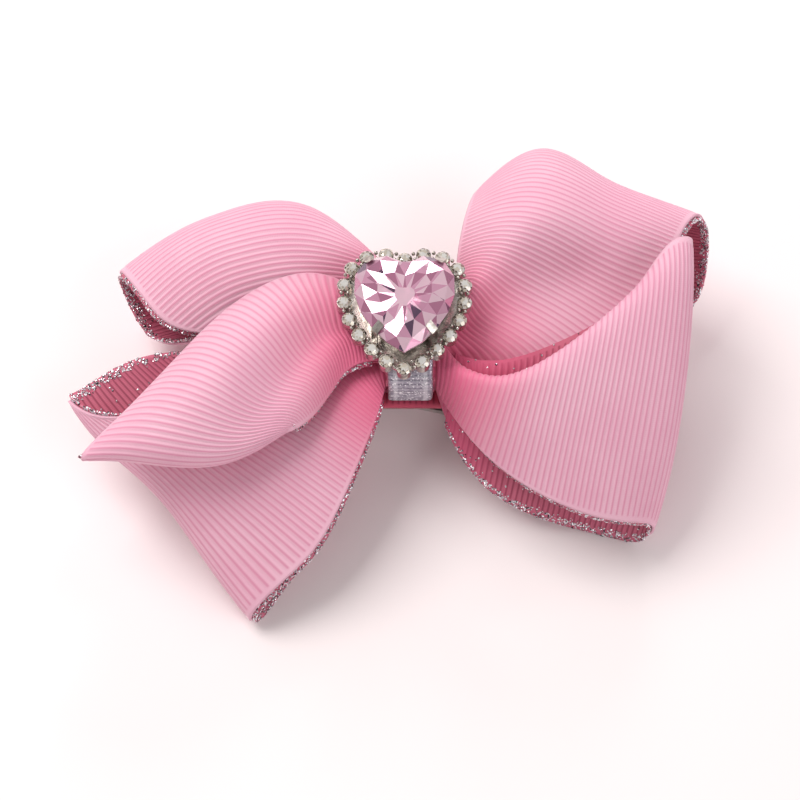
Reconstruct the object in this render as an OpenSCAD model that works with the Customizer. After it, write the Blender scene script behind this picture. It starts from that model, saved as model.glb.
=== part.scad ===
/* [Bow] */
// Width of the whole bow, from loop tip to loop tip
bow_w = 87; // [72:1:105]
// Width of the grosgrain ribbon and of its lining
ribbon_w = 38; // [34:1:44]
// Thickness of the grosgrain ribbon
ribbon_t = 0.4; // [0.3:0.05:0.5]
// Thickness of the glitter lining ribbon
lining_t = 0.25; // [0.2:0.05:0.35]
// Air between a loop and its lining
lining_gap = 0.12; // [0.06:0.02:0.2]
// Steps of a loop, out of 34, that its lining leaves bare at each neck
lining_bare = 2; // [1:1:5]

/* [Knot] */
// Width of the centre wrap along the bow
wrap_w = 5.8; // [4.5:0.1:8]
// Thickness of the centre wrap
wrap_t = 0.5; // [0.3:0.05:0.8]
// Height of the gathered ribbons, up the bow
knot_h = 9.2; // [9:0.1:12]
// Depth of the gathered ribbons, front to back
knot_d = 7.7; // [7.5:0.1:10]
// Diameter of the binding thread
thread_d = 0.4; // [0.2:0.05:0.5]
// Turns of the binding thread
thread_turns = 5; // [3:1:7]

/* [Heart gem] */
// Width of the crystal
gem_w = 13.5; // [11:0.5:17]
// Depth of the crystal from table to point
gem_d = 4.6; // [3.5:0.1:6]
// Distance that the gem sits to the left of the wrap's middle
gem_shift_x = 0.8; // [0:0.1:2]
// Distance that the gem sits above the wrap's middle
gem_shift_y = 3.3; // [0:0.1:4]
// Diameter of a surround stone
stone_d = 1.85; // [1.5:0.05:2.3]
// Number of surround stones
stone_count = 20; // [14:2:24]
// Wall of a surround stone's cup
cup_wall = 0.08; // [0.05:0.01:0.2]
// Sheet thickness of the gem's metal settings
setting_t = 0.4; // [0.3:0.05:0.6]
// Width of a claw
claw_w = 1.1; // [0.8:0.1:1.5]
// Thickness of a claw
claw_t = 0.2; // [0.15:0.05:0.3]
// Thickness of the glue under the gem
glue_t = 1; // [0.4:0.1:1.2]

/* [Clip] */
// Length of the clip
clip_l = 42; // [36:1:52]
// Width of the clip's upper arm
clip_w = 9; // [8:0.5:11]
// Thickness of the clip's sheet steel
clip_t = 0.8; // [0.6:0.1:1]
// Thickness of the ribbon that covers the upper arm
cover_t = 0.4; // [0.3:0.05:0.5]
// Radius of the hinge pin
pin_r = 0.9; // [0.7:0.05:1.2]
// Radial clearance of the jaw on the hinge pin
pin_clear = 0.05; // [0.02:0.01:0.1]
// Radius of the spring wire
wire_r = 0.3; // [0.25:0.05:0.4]
// Number of spring coils
spring_coils = 5; // [3:1:6]

/* [Hidden] */

pink = "#f0aabe";
glitter = "#c9c6cf";
crimson = "#a52d46";
steel = "#b9b7b0";

// ---------------------------------------------------------------- ribbon loops
// A loop is a smooth strip. Each row below is one line across the ribbon, from
// selvage to selvage, and the rows run from the front neck, round the loop's end,
// to the back neck. Points are in mm from the knot's middle, for an 87 mm bow of
// 38 mm ribbon: x to the right, y up, z to the front, 0 under the clip.
drawn_w = 87;
drawn_ribbon = 38;
knot_z = 13.9;
drawn_neck_x = 3.5;

upper_right = [
    [[3.5, 4.4, 14.8], [3.5, 3.5, 15.2], [3.5, 2.4, 14.6], [3.5, 1.2, 14.9], [3.5, 0, 14.6], [3.5, -1.2, 14.5]],
    [[6.5, 10, 13], [8, 8.5, 20], [8.5, 5.5, 13.5], [14, 1.5, 17], [20, -2, 14.5], [22, -6, 11.8]],
    [[6.5, 14.5, 14], [10, 13, 21.5], [15, 11.5, 19], [20, 11, 14.5], [27, 6, 15], [33, 2, 13]],
    [[7, 18, 15], [12, 16, 23], [18, 15, 23], [25, 13, 17], [30, 10, 17.5], [35, 9.5, 16]],
    [[8, 23, 15], [14, 21.5, 23], [20, 19.5, 25], [27, 17.5, 22], [32, 16, 21.5], [36, 15, 20]],
    [[10, 30.5, 10], [16, 36, 17], [22, 34, 19], [27, 27, 19.5], [32.5, 24, 21], [39.5, 20, 21.5]],
    [[12, 30, 4], [18, 33.5, 5.5], [23.5, 31, 7], [29, 25.5, 9.5], [35, 22.5, 12], [41.5, 19, 16]],
    [[9, 21, 0], [15, 21, -2], [21, 20, -2.6], [27, 18.5, -2], [34, 16.5, 3], [41.5, 13.5, 8.5]],
    [[6, 13, 7], [11, 13.5, 5], [17, 13.5, 4], [24, 13, 4.5], [31, 11, 6], [38, 9, 7]],
    [[4.5, 6.5, 12], [7, 6.5, 12], [10, 5.5, 12], [15, 4.5, 12.2], [20, 3.5, 12.2], [26, 3, 12]],
    [[3.5, 3.8, 12.2], [3.5, 3, 11.8], [3.5, 2, 11.5], [3.5, 1, 11.5], [3.5, 0, 11.5], [3.5, -1.2, 11.5]]];

lower_right = [
    [[3.5, -4.3, 14], [3.5, -4.3, 15.8], [3.5, -3.8, 17.1], [3.5, -2.4, 18.2], [3.5, -0.5, 18.3], [3.5, 1.5, 18.2]],
    [[6, -8.5, 13.5], [7, -8, 17], [8, -7, 20], [8.5, -5.5, 21], [8.5, -5, 18.9], [8, -5.5, 17.6]],
    [[10, -14, 12.5], [11, -12, 16.5], [12, -9.5, 20], [13, -7.5, 22.5], [13.5, -6, 20.5], [13, -7.5, 18.3]],
    [[17.5, -19, 11.5], [18.5, -15, 16.5], [19.5, -10.5, 20.5], [21, -4.5, 24.5], [22, -0.5, 24], [21, -3.5, 19.8]],
    [[24.5, -21.5, 10], [25.5, -15.5, 16], [27, -9, 20.5], [28.5, -1, 24.5], [30, 6.5, 26], [30, 5.5, 21.5]],
    [[29.5, -21.5, 8.5], [30.5, -16, 14.5], [32, -8, 19.5], [33.5, 0.5, 23.5], [34.5, 9, 26.5], [34.5, 13, 25]],
    [[33.5, -20.5, 6], [35, -16.5, 12], [36.5, -8, 17], [37.5, 0, 21], [38, 8, 24.5], [38, 13.5, 24.5]],
    [[33, -21, -0.5], [35, -16, 7], [36.5, -8, 12.5], [37.5, 0, 16.5], [38, 8, 20.5], [38, 13, 22]],
    [[26, -18.5, -1], [28, -13, 7], [29, -7, 12.5], [30, -2, 16.3], [31, 3, 18.5], [31, 6.5, 19]],
    [[14.5, -17.5, 3], [16, -12, 8.5], [17, -7.5, 13], [18, -4.5, 15.9], [19, -1.8, 17], [19, -0.2, 17.5]],
    [[6.5, -12.5, 7.5], [7.5, -8.5, 11], [8, -6, 14.6], [8.5, -5, 16.2], [8.5, -4.2, 16.9], [8.5, -3.4, 16.9]],
    [[3.5, -3.2, 12.6], [3.5, -3, 14.4], [3.5, -2.4, 16], [3.5, -1.2, 16.7], [3.5, 0, 16.7], [3.5, 1.4, 16.6]]];

front_left = [
    [[-3.5, 3.4, 17.6], [-3.5, 2.8, 18.1], [-3.5, 2, 18.3], [-3.5, 1.2, 18.3], [-3.5, 0, 18.3],
        [-3.5, -1, 18.2], [-3.5, -2, 18.1]],
    [[-9, 13, 18], [-9.5, 10.5, 19.3], [-9.5, 7.5, 19.8], [-9.5, 4.5, 19.5], [-9.5, 2.5, 19.2], [-8.5, 1.5, 19.5],
        [-8, -2, 18]],
    [[-21, 11, 18], [-19.5, 8.5, 22], [-17, 5, 24.5], [-15, 2, 23], [-13, -1.5, 19.8], [-10.5, -2.5, 20.7],
        [-10, -5.5, 17.6]],
    [[-31.5, -1, 16.5], [-29.5, -2.5, 21.5], [-25.5, -4.5, 25], [-21.5, -7, 23.5], [-18, -9.5, 19.8],
        [-14, -8.5, 20.7], [-13, -10.5, 17.8]],
    [[-38, -9.5, 17], [-35, -10, 21], [-31, -11.5, 24], [-26, -13, 22.5], [-21, -13.5, 19.8],
        [-16.5, -11.5, 19.8], [-15.5, -12.5, 18.5]],
    [[-44, -16, 17.5], [-40, -16, 19], [-34, -17.5, 20.5], [-28, -18, 20], [-22.5, -17, 19.3],
        [-18, -14.5, 19], [-16, -12.5, 18.7]],
    [[-43, -16, 15.3], [-39, -16, 15.3], [-34, -17, 15.6], [-28, -17.5, 15.8], [-23, -16.5, 16.1],
        [-19, -13.5, 16.3], [-17, -11, 16.5]],
    [[-37, -9, 14.8], [-34, -9.5, 15.5], [-30, -10.5, 16.7], [-25.5, -11, 17.3], [-21, -11, 16.8],
        [-18.5, -9.5, 16.5], [-16.5, -7.5, 16.5]],
    [[-28, 0, 15.4], [-25.5, -1, 16.5], [-22.5, -2.5, 18], [-19.5, -4, 18], [-17, -5, 17.2],
        [-14.5, -5, 16.8], [-13, -4, 16.8]],
    [[-14, 7, 17.5], [-13, 5.5, 18], [-12.5, 4, 18.3], [-12, 2, 18], [-11, 0.5, 17.2], [-10, -0.5, 16.9],
        [-9, -1, 16.8]],
    [[-3.5, 3.8, 16.7], [-3.5, 3.1, 16.7], [-3.5, 2.2, 16.7], [-3.5, 1.2, 16.7], [-3.5, 0, 16.7],
        [-3.5, -1, 16.7], [-3.5, -1.8, 16.7]]];

lower_left = [
    [[-3.5, 1, 15.7], [-3.5, 0, 15.7], [-3.5, -1.2, 15.7], [-3.5, -2.4, 15.7], [-3.5, -3.5, 15.6], [-3.5, -4.4, 15]],
    [[-14, 0.5, 14.5], [-12.5, 0, 14.7], [-11, -1.5, 14.9], [-9, -3.5, 15.6], [-6.5, -6, 16], [-4, -7.5, 14.5]],
    [[-27, -3, 13.3], [-24, -4, 13], [-20.5, -6.5, 13.5], [-16, -9, 15], [-11, -11.5, 15.5], [-6.5, -13.5, 13]],
    [[-37, -8, 12.8], [-35, -8, 12.5], [-31.5, -11, 13], [-25.5, -15.5, 13.5], [-18.5, -20, 12.5], [-11.5, -25, 9]],
    [[-43, -8, 12.3], [-41, -8, 12], [-36, -12.5, 12.3], [-30, -17.5, 11.5], [-23.5, -23.5, 9.5], [-17, -29, 6.5]],
    [[-47, -4.5, 11.3], [-44, -9.5, 10.5], [-38.5, -13.5, 9.5], [-32.5, -18.5, 8.5], [-27.5, -26.5, 6], [-22, -33, 3]],
    [[-46.5, -4, 9.3], [-43.5, -9, 7.5], [-38, -13, 5], [-32, -18.5, 3], [-27, -26.5, 0.5], [-21.5, -32.5, -2]],
    [[-42, -1, 10.3], [-38.5, -4.5, 8], [-33.5, -10, 6], [-28, -15.5, 4], [-22, -21, 2.5], [-16, -26, 1.5]],
    [[-34, 4, 10.3], [-29.5, 1, 9.3], [-24.5, -3, 9], [-19, -7.5, 8.3], [-14, -12, 7], [-9.5, -16.5, 6.5]],
    [[-21, 1, 12.5], [-18, 0, 12.5], [-14.5, -1.5, 12.5], [-11, -3.5, 12.3], [-8, -6.5, 12], [-6, -9, 11.7]],
    [[-3.5, 1, 14.1], [-3.5, 0, 14.1], [-3.5, -1.2, 14.1], [-3.5, -2.4, 14.1], [-3.5, -3.6, 14], [-3.5, -4.5, 13.4]]];

upper_left = [
    [[-3.5, 0.5, 13], [-3.5, 1.3, 13.1], [-3.5, 2.1, 13.1], [-3.5, 2.9, 13.1], [-3.5, 3.7, 13.1], [-3.5, 4.5, 13.1]],
    [[-19, 5.5, 13], [-16, 6, 13.2], [-13, 6.3, 13.4], [-10, 6.5, 13.6], [-6.5, 6.5, 13.6], [-3.5, 7, 13.4]],
    [[-32, 3.5, 12], [-27, 7.5, 14], [-21, 9.5, 15], [-15.5, 10.5, 15.5], [-9.5, 11, 15.5], [-3, 10.5, 15.5]],
    [[-36.5, 9, 14.5], [-30.5, 14.5, 18], [-23, 16, 19.5], [-16, 17, 20], [-9.5, 15.5, 19.5], [-4, 13, 18.5]],
    [[-41, 15.5, 13], [-34.5, 20.5, 15], [-27, 23, 17], [-19, 26, 17.5], [-12, 24, 17], [-6, 16.5, 15.5]],
    [[-41, 16, 7], [-34.5, 21, 8], [-27, 23.5, 8], [-19, 26, 8], [-12, 23, 9], [-6, 16.5, 10]],
    [[-38.5, 11, 2.5], [-33, 14, 0], [-26, 15.5, -2.5], [-19, 16.5, -2], [-12, 15.5, 3], [-6, 13, 7]],
    [[-34.5, 6.5, 2], [-28.5, 8.5, 1.5], [-22.5, 10.5, 2], [-16.5, 11.5, 3.5], [-11, 11, 6], [-5.5, 9, 9]],
    [[-22, 7, 11.8], [-18, 6.5, 11.8], [-14, 6, 11.8], [-10.5, 6, 11.8], [-7.5, 6, 11.8], [-4.5, 5.5, 11.8]],
    [[-3.5, 0.5, 11.6], [-3.5, 1.2, 11.6], [-3.5, 1.9, 11.6], [-3.5, 2.6, 11.7], [-3.5, 3.2, 11.9], [-3.5, 3.8, 12.2]]];

steps_along = 34;
steps_across = 8;

function sum(list, i = 0) = i == len(list) - 1 ? list[i] : list[i] + sum(list, i + 1);
function mean(list) = sum(list) / len(list);

// A row stays beside the wrap at the necks, and elsewhere follows the bow's width
// and the ribbon's width.
function sized_row(row, is_neck) =
    let (grow = bow_w / drawn_w, wide = ribbon_w / drawn_ribbon / grow, hub = [0, 0, knot_z], mid = mean(row))
    is_neck ? [for (p = row) [p.x * neck_x / drawn_neck_x, p.y, p.z]] : [for (p = row) hub + grow * (mid + wide * (p - mid) - hub)];
function sized(net) = [for (i = [0:len(net) - 1]) sized_row(net[i], i == 0 || i == len(net) - 1)];

// Cubic B-spline weights for n control points, with ends that meet the first and last.
function knot_at(i, n) = min(max(i - 3, 0), n - 3);
function weight(i, d, t, n) =
    d == 0 ? (t >= knot_at(i, n) && t < knot_at(i + 1, n) ? 1 : 0) :
    let (a = knot_at(i + d, n) - knot_at(i, n), b = knot_at(i + d + 1, n) - knot_at(i + 1, n))
    (a > 0 ? (t - knot_at(i, n)) / a * weight(i, d - 1, t, n) : 0) +
    (b > 0 ? (knot_at(i + d + 1, n) - t) / b * weight(i + 1, d - 1, t, n) : 0);
function weights(share, n) = [for (i = [0:n - 1]) weight(i, 3, min(share * (n - 3), n - 3 - 1e-7), n)];
function strip(net, from, to, steps) =
    let (rows = len(net), cols = len(net[0]),
        along = [for (i = [0:steps]) weights(from + (to - from) * i / steps, rows)],
        across = [for (j = [0:steps_across]) weights(j / steps_across, cols)])
    [for (u = along) let (line = [for (j = [0:cols - 1]) sum([for (i = [0:rows - 1]) u[i] * net[i][j]])])
        [for (v = across) v * line]];

function unit(v) = v / norm(v);
function clamp(i, n) = min(max(i, 0), n);
// Unit normals of a grid of points.
function normals(g) = let (n = len(g) - 1, m = len(g[0]) - 1)
    [for (i = [0:n]) [for (j = [0:m])
        unit(cross(g[clamp(i + 1, n)][j] - g[clamp(i - 1, n)][j], g[i][clamp(j + 1, m)] - g[i][clamp(j - 1, m)]))]];

// The closed thin solid between two offsets of a grid, with low below high.
module sheet_between(g, low, high) {
    n = len(g);
    m = len(g[0]);
    away = normals(g);
    points = concat(
        [for (i = [0:n - 1]) for (j = [0:m - 1]) g[i][j] + high * away[i][j]],
        [for (i = [0:n - 1]) for (j = [0:m - 1]) g[i][j] + low * away[i][j]]);
    k = n * m;
    top = [for (i = [0:n - 2]) for (j = [0:m - 2]) let (a = i * m + j)
        each [[a, a + 1, a + m], [a + 1, a + m + 1, a + m]]];
    under = [for (f = top) [k + f[2], k + f[1], k + f[0]]];
    side_a = [for (i = [0:n - 2]) let (a = i * m) each [[a, a + m, k + a], [a + m, k + a + m, k + a]]];
    side_b = [for (i = [0:n - 2]) let (a = i * m + m - 1) each [[a, k + a, a + m], [a + m, k + a, k + a + m]]];
    end_a = [for (j = [0:m - 2]) each [[j, k + j, j + 1], [j + 1, k + j, k + j + 1]]];
    end_b = [for (j = [0:m - 2]) let (a = (n - 1) * m + j) each [[a, a + 1, k + a], [a + 1, k + a + 1, k + a]]];
    polyhedron(points, concat(top, under, side_a, side_b, end_a, end_b));
}

// The inside of a loop is the side that faces down under its front half.
function inside_of(g) = let (i = floor(len(g) / 5), j = floor(len(g[0]) / 2)) normals(g)[i][j].z > 0 ? -1 : 1;

module loop(net) {
    g = strip(sized(net), 0, 1, steps_along);
    color(pink) sheet_between(g, -ribbon_t / 2, ribbon_t / 2);
}

module lining(net) {
    bare = lining_bare / steps_along;
    g = strip(sized(net), bare, 1 - bare, steps_along - 2 * lining_bare);
    near = ribbon_t / 2 + lining_gap;
    far = near + lining_t;
    color(glitter) if (inside_of(g) > 0) sheet_between(g, near, far);
    else sheet_between(g, -far, -near);
}

module upper_right_loop() { loop(upper_right); }
module lower_right_loop() { loop(lower_right); }
module front_left_loop() { loop(front_left); }
module lower_left_loop() { loop(lower_left); }
module upper_left_loop() { loop(upper_left); }
module upper_right_lining() { lining(upper_right); }
module lower_right_lining() { lining(lower_right); }
module front_left_lining() { lining(front_left); }
module lower_left_lining() { lining(lower_left); }
module upper_left_lining() { lining(upper_left); }

// ------------------------------------------------------------------------ knot
neck_x = wrap_w / 2 + 0.6;  // where the loops' necks start
neck_overlap = 0.3;         // how far the gathered ribbons run past the necks
core_w = 2 * (neck_x + neck_overlap);
core_z = 11;                // back of the gathered ribbons
core_top = core_z + knot_d;
bind_gap = 0.05;
wrap_air = thread_d + 2 * bind_gap;
wrap_h = knot_h + 2 * wrap_air;
wrap_z = core_z - wrap_air;
wrap_top = core_top + wrap_air;
wrap_front = wrap_top + wrap_t;
round_r = 3;
pleat = 1.5;

module rounded_rect(h, low, high, r) {
    translate([-h / 2, low + r]) square([h, high - low - 2 * r]);
    translate([-h / 2 + r, low]) square([h - 2 * r, high - low]);
    for (y = [-1, 1]) for (z = [low + r, high - r]) translate([y * (h / 2 - r), z]) circle(r, $fn = 48);
}
// A round-cornered bar along x, w long about x = 0, h wide in y, from low to high in z.
module rounded_bar(w, h, low, high, r) {
    rotate([90, 0, 90]) translate([0, 0, -w / 2]) linear_extrude(w) rounded_rect(h, low, high, r);
}

// The ribbons of all the loops, pleated together and sewn: one solid with pleat grooves.
module gathered_core() {
    color(pink) difference() {
        rounded_bar(core_w, knot_h, core_z, core_top, round_r);
        for (z = [core_z + round_r:pleat:core_top - round_r + 0.5]) for (s = [-1, 1])
            translate([0, s * (knot_h / 2 + 0.1), z]) rotate([0, 90, 0])
                cylinder(h = core_w + 1, r = 0.35, center = true, $fn = 24);
    }
}

module binding_thread() {
    pitch = (wrap_w - 1.6) / (thread_turns - 1);
    color("white") for (i = [0:thread_turns - 1]) translate([(i - (thread_turns - 1) / 2) * pitch, 0, 0])
        difference() {
            rounded_bar(thread_d, knot_h + 2 * (thread_d + bind_gap), core_z - thread_d - bind_gap,
                core_top + thread_d + bind_gap, round_r + thread_d + bind_gap);
            rounded_bar(1, knot_h + 2 * bind_gap, core_z - bind_gap, core_top + bind_gap, round_r + bind_gap);
        }
}

module centre_wrap() {
    color(glitter) difference() {
        rounded_bar(wrap_w, wrap_h + 2 * wrap_t, wrap_z - wrap_t, wrap_front, round_r + wrap_air + wrap_t);
        rounded_bar(wrap_w + 1, wrap_h, wrap_z, wrap_top, round_r + wrap_air);
    }
}

// ------------------------------------------------------------------- heart gem
// Right half of the heart, from the notch to the point, for a crystal 13.7 wide.
drawn_gem_w = 13.7;
half_heart = [[0, 6.1], [1.2, 7], [3.2, 7.3], [5.1, 6.7], [6.3, 5.3], [6.85, 3.3], [6.75, 1.4], [6.1, -0.8],
    [5.1, -2.6], [3.7, -4.4], [2.1, -6], [0, -7.4]];
function blend(a, b, c, d, t) =
    0.5 * (2 * b + (c - a) * t + (2 * a - 5 * b + 4 * c - d) * t * t + (3 * b - a - 3 * c + d) * t * t * t);
smooth_half = let (n = len(half_heart) - 1, s = gem_w / drawn_gem_w)
    [for (i = [0:n - 1]) for (k = [0:7])
        s * blend(half_heart[max(i - 1, 0)], half_heart[i], half_heart[i + 1], half_heart[min(i + 2, n)], k / 8),
        s * half_heart[n]];
function side_of(i) = let (n = len(smooth_half) - 1,
    run = smooth_half[min(i + 1, n)] - smooth_half[max(i - 1, 0)]) [-run.y, run.x] / norm(run);
// The heart's outline moved outwards by d.
function heart(d) = let (right = [for (i = [0:len(smooth_half) - 1])
        let (p = smooth_half[i] + d * side_of(i)) if (p.x > 0.04) p])
    concat(right, [for (i = [len(right) - 1:-1:0]) [-right[i].x, right[i].y]]);
function run_lengths(line, i = 0, total = 0, out = []) =
    i == len(line) ? concat(out, [total]) :
    run_lengths(line, i + 1, total + norm(line[(i + 1) % len(line)] - line[i]), concat(out, [total]));
// n points at equal steps along a closed line, from its start.
function spaced_on(line, n, phase = 0) =
    let (run = run_lengths(line), total = run[len(line)])
    [for (k = [0:n - 1]) let (s = total * (k + phase) / n,
        i = max([for (j = [0:len(line) - 1]) run[j] <= s ? j : 0]), f = (s - run[i]) / (run[i + 1] - run[i]))
        line[i] + f * (line[(i + 1) % len(line)] - line[i])];

glue_z = wrap_front + 0.02;
glue_pad_t = glue_t + max(0, gem_w - 13.5) * 0.25;  // a wider ring needs more room over the loops
plate_z = glue_z + glue_pad_t + 0.02;
plate_top = plate_z + setting_t;
claw_gap = 0.04;
cup_r = stone_d / 2 + cup_wall;
stone_line = claw_gap * 4 + claw_t + cup_r;  // the stones' line outside the crystal's edge
cup_h = 1;
cup_floor = 0.3;
stone_air = 0.03;
floor_z = plate_top + 0.02;
seat_z = floor_z + setting_t + 0.05;
girdle_z = seat_z + gem_d * 0.55;
girdle_t = 0.3;
gem_top = seat_z + gem_d;
stone_places = spaced_on(heart(stone_line), stone_count);

module at_gem(z) { translate([-gem_shift_x, gem_shift_y, z]) children(); }

module glue_pad() {
    color("white") translate([0, 0, glue_z]) cylinder(h = glue_pad_t, r = wrap_w / 2 - 0.3, $fn = 48);
}

// Stamped heart plate with one cup for each surround stone.
module surround_setting() {
    color(steel) difference() {
        union() {
            at_gem(plate_z) linear_extrude(setting_t) polygon(spaced_on(heart(stone_line), 60));
            for (p = stone_places) at_gem(plate_z) translate(p) cylinder(h = setting_t + cup_h, r = cup_r, $fn = 32);
        }
        for (p = stone_places) at_gem(plate_top + cup_floor) translate(p)
            cylinder(h = cup_h, r = stone_d / 2 + stone_air, $fn = 32);
    }
}

module surround_stones() {
    color("white") for (p = stone_places) at_gem(plate_top + cup_floor + 0.03) translate(p) {
        cylinder(h = 0.5, r1 = 0.3, r2 = stone_d / 2, $fn = 16);
        translate([0, 0, 0.5]) cylinder(h = 0.15, r = stone_d / 2, $fn = 16);
        translate([0, 0, 0.65]) cylinder(h = 0.4, r1 = stone_d / 2, r2 = stone_d * 0.28, $fn = 16);
    }
}

// Shallow tray under the crystal with four claws folded over its edge.
claw_points = [24, 71];  // steps of the half outline that the claws stand at
rim_in = 0.5;
rim_t = 0.3;
crown_rise = 0.8;        // how much a claw climbs on its way over the crown
claw_reach = 1;
module claw_setting() {
    color(steel) at_gem(floor_z) {
        difference() {
            linear_extrude(girdle_z - 0.8 - floor_z) polygon(spaced_on(heart(-rim_in), 60));
            translate([0, 0, setting_t]) linear_extrude(gem_d) polygon(spaced_on(heart(-rim_in - rim_t), 60));
        }
        for (i = claw_points) for (flip = [0, 1]) mirror([flip, 0, 0]) claw(smooth_half[i], side_of(i));
    }
}
module claw(p, side) {
    edge = girdle_z + girdle_t / 2 - floor_z;
    translate(p) rotate(atan2(side.y, side.x)) rotate([90, 0, 0]) translate([0, 0, -claw_w / 2])
        linear_extrude(claw_w) polygon([[-rim_in - 0.1, 0], [claw_gap + claw_t, 0], [claw_gap + claw_t, edge + 0.3],
            [-claw_reach, edge + 0.3 + crown_rise + claw_t], [-claw_reach, edge + 0.3 + crown_rise],
            [claw_gap, edge + 0.05], [claw_gap, claw_t], [-rim_in - 0.1, claw_t]]);
}

// Faceted heart: rings of points at falling widths, joined by flat facets.
gem_facets = 24;
module heart_crystal() {
    crown = gem_top - girdle_z;
    rings = [[0.5, gem_top, 0], [0.8, girdle_z + crown * 0.55, 0.5], [1, girdle_z + girdle_t / 2, 0],
        [1, girdle_z - girdle_t / 2, 0], [0.62, seat_z + gem_d * 0.2, 0.5], [0.1, seat_z, 0]];
    n = gem_facets;
    points = [for (r = rings) for (p = spaced_on(heart(0), n, r[2])) [p.x * r[0], p.y * r[0], r[1]]];
    last = len(rings) - 1;
    walls = [for (k = [0:last - 1]) for (i = [0:n - 1])
        let (j = (i + 1) % n, a = k * n, b = (k + 1) * n)
        each rings[k + 1][2] > rings[k][2] ? [[a + i, b + i, a + j], [a + j, b + i, b + j]] :
            [[a + i, b + i, b + j], [a + i, b + j, a + j]]];
    color("#e0a8c4") at_gem(0) polyhedron(points,
        concat([[for (i = [n - 1:-1:0]) i]], [for (f = walls) [f[2], f[1], f[0]]], [[for (i = [0:n - 1]) last * n + i]]));
}

// ------------------------------------------------------------------------ clip
clip_x0 = -clip_l / 2 + 1;     // jaw end
clip_x1 = clip_x0 + clip_l;    // lever end
cover_top = wrap_z - wrap_t - 0.05;
arm_z = cover_top - cover_t - clip_t;
hinge_x = clip_x0 + clip_l * 0.69;
ear_t = 0.6;
ear_gap = 0.25;
jaw_w = clip_w - 2 * ear_t - 2 * ear_gap;
coil_r = pin_r + 0.3 + wire_r;
ear_r = pin_r + 0.9;
spring_air = 0.1;              // air between the spring and the arms
hinge_z = arm_z - coil_r - wire_r - spring_air;
cheek_t = 0.6;
cheek_r = ear_r - 0.2;

// A flat plate in x and y with a round end at each x limit.
module round_ended(x0, x1, w, z, t) {
    translate([x0 + w / 2, -w / 2, z]) cube([x1 - x0 - w, w, t]);
    for (x = [x0 + w / 2, x1 - w / 2]) translate([x, 0, z]) cylinder(h = t, r = w / 2, $fn = 64);
}
module across(h, r) { rotate([90, 0, 0]) translate([0, 0, -h / 2]) cylinder(h = h, r = r, $fn = 48); }

module clip_upper_arm() {
    color(steel) difference() {
        union() {
            round_ended(clip_x0, clip_x1, clip_w, arm_z, clip_t);
            for (s = [-1, 1]) translate([hinge_x, s * (clip_w / 2 - ear_t / 2), 0]) {
                translate([-ear_r, -ear_t / 2, hinge_z]) cube([2 * ear_r, ear_t, arm_z - hinge_z + 0.1]);
                translate([0, 0, hinge_z]) across(ear_t, ear_r);
            }
        }
        translate([hinge_x, 0, hinge_z]) across(clip_w + 2, pin_r);
    }
}

// Ribbon glued over the top and round the edges of the upper arm.
module clip_cover() {
    fit = 0.02;
    color(crimson) difference() {
        round_ended(clip_x0 - cover_t, clip_x1 + cover_t, clip_w + 2 * cover_t, arm_z + 0.1, clip_t + cover_t - 0.1);
        round_ended(clip_x0 - fit, clip_x1 + fit, clip_w + 2 * fit, arm_z - 1, clip_t + 1 + fit);
    }
}

tooth = 1.2;
tooth_h = 0.8;
teeth = 7;
module clip_lower_jaw() {
    t = clip_t;
    jaw_top = arm_z - 0.1;
    bar_z = jaw_top - tooth_h - t;
    teeth_x1 = clip_x0 + teeth * tooth;
    under_z = hinge_z - coil_r - wire_r - 2 * spring_air - t;
    lever_z = 1.5;
    color(steel) difference() {
        union() {
            rotate([90, 0, 0]) translate([0, 0, -jaw_w / 2]) linear_extrude(jaw_w) {
                polygon([[clip_x0, bar_z], [teeth_x1 + 3, bar_z], [teeth_x1 + 5, bar_z - 1],
                    [hinge_x - 8, bar_z - 1], [hinge_x - 4, under_z], [hinge_x + 3, under_z],
                    [clip_x1 - 3, lever_z], [clip_x1, lever_z], [clip_x1, lever_z + t], [clip_x1 - 3, lever_z + t],
                    [hinge_x + 3, under_z + t], [hinge_x - 4 + t / 2, under_z + t], [hinge_x - 8 + t / 2, bar_z - 1 + t],
                    [teeth_x1 + 5, bar_z - 1 + t], [teeth_x1 + 3, bar_z + t], [clip_x0, bar_z + t]]);
                for (i = [0:teeth - 1]) translate([clip_x0 + i * tooth, bar_z + t - 0.01])
                    polygon([[0, 0], [tooth, 0], [tooth / 2, tooth_h + 0.01]]);
            }
            for (s = [-1, 1]) translate([hinge_x, s * (jaw_w / 2 - cheek_t / 2), 0]) {
                translate([0, 0, hinge_z]) across(cheek_t, cheek_r);
                translate([-cheek_r, -cheek_t / 2, under_z + 0.1]) cube([2 * cheek_r, cheek_t, hinge_z - under_z - 0.1]);
            }
        }
        translate([hinge_x, 0, hinge_z]) across(clip_w + 2, pin_r + pin_clear);
    }
}

module hinge_pin() {
    press = 0.01;
    head_t = 0.3;
    color(steel) translate([hinge_x, 0, hinge_z]) {
        across(clip_w + 0.1, pin_r - press);
        for (s = [-1, 1]) translate([0, s * (clip_w / 2 + 0.05 + head_t / 2), 0]) across(head_t, pin_r + 0.4);
    }
}

leg_l = 5;
module clip_spring() {
    pitch = 2 * wire_r + 0.02;
    color("silver") translate([hinge_x, 0, hinge_z]) {
        for (i = [0:spring_coils - 1]) translate([0, (i - (spring_coils - 1) / 2) * pitch, 0]) rotate([90, 0, 0])
            rotate_extrude($fn = 48) translate([coil_r, 0]) circle(wire_r + 0.02, $fn = 16);
        for (s = [-1, 1]) translate([0, s * (spring_coils - 1) / 2 * pitch, s * coil_r])
            rotate([0, 90, 0]) cylinder(h = leg_l, r = wire_r, $fn = 16);
    }
}

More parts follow.
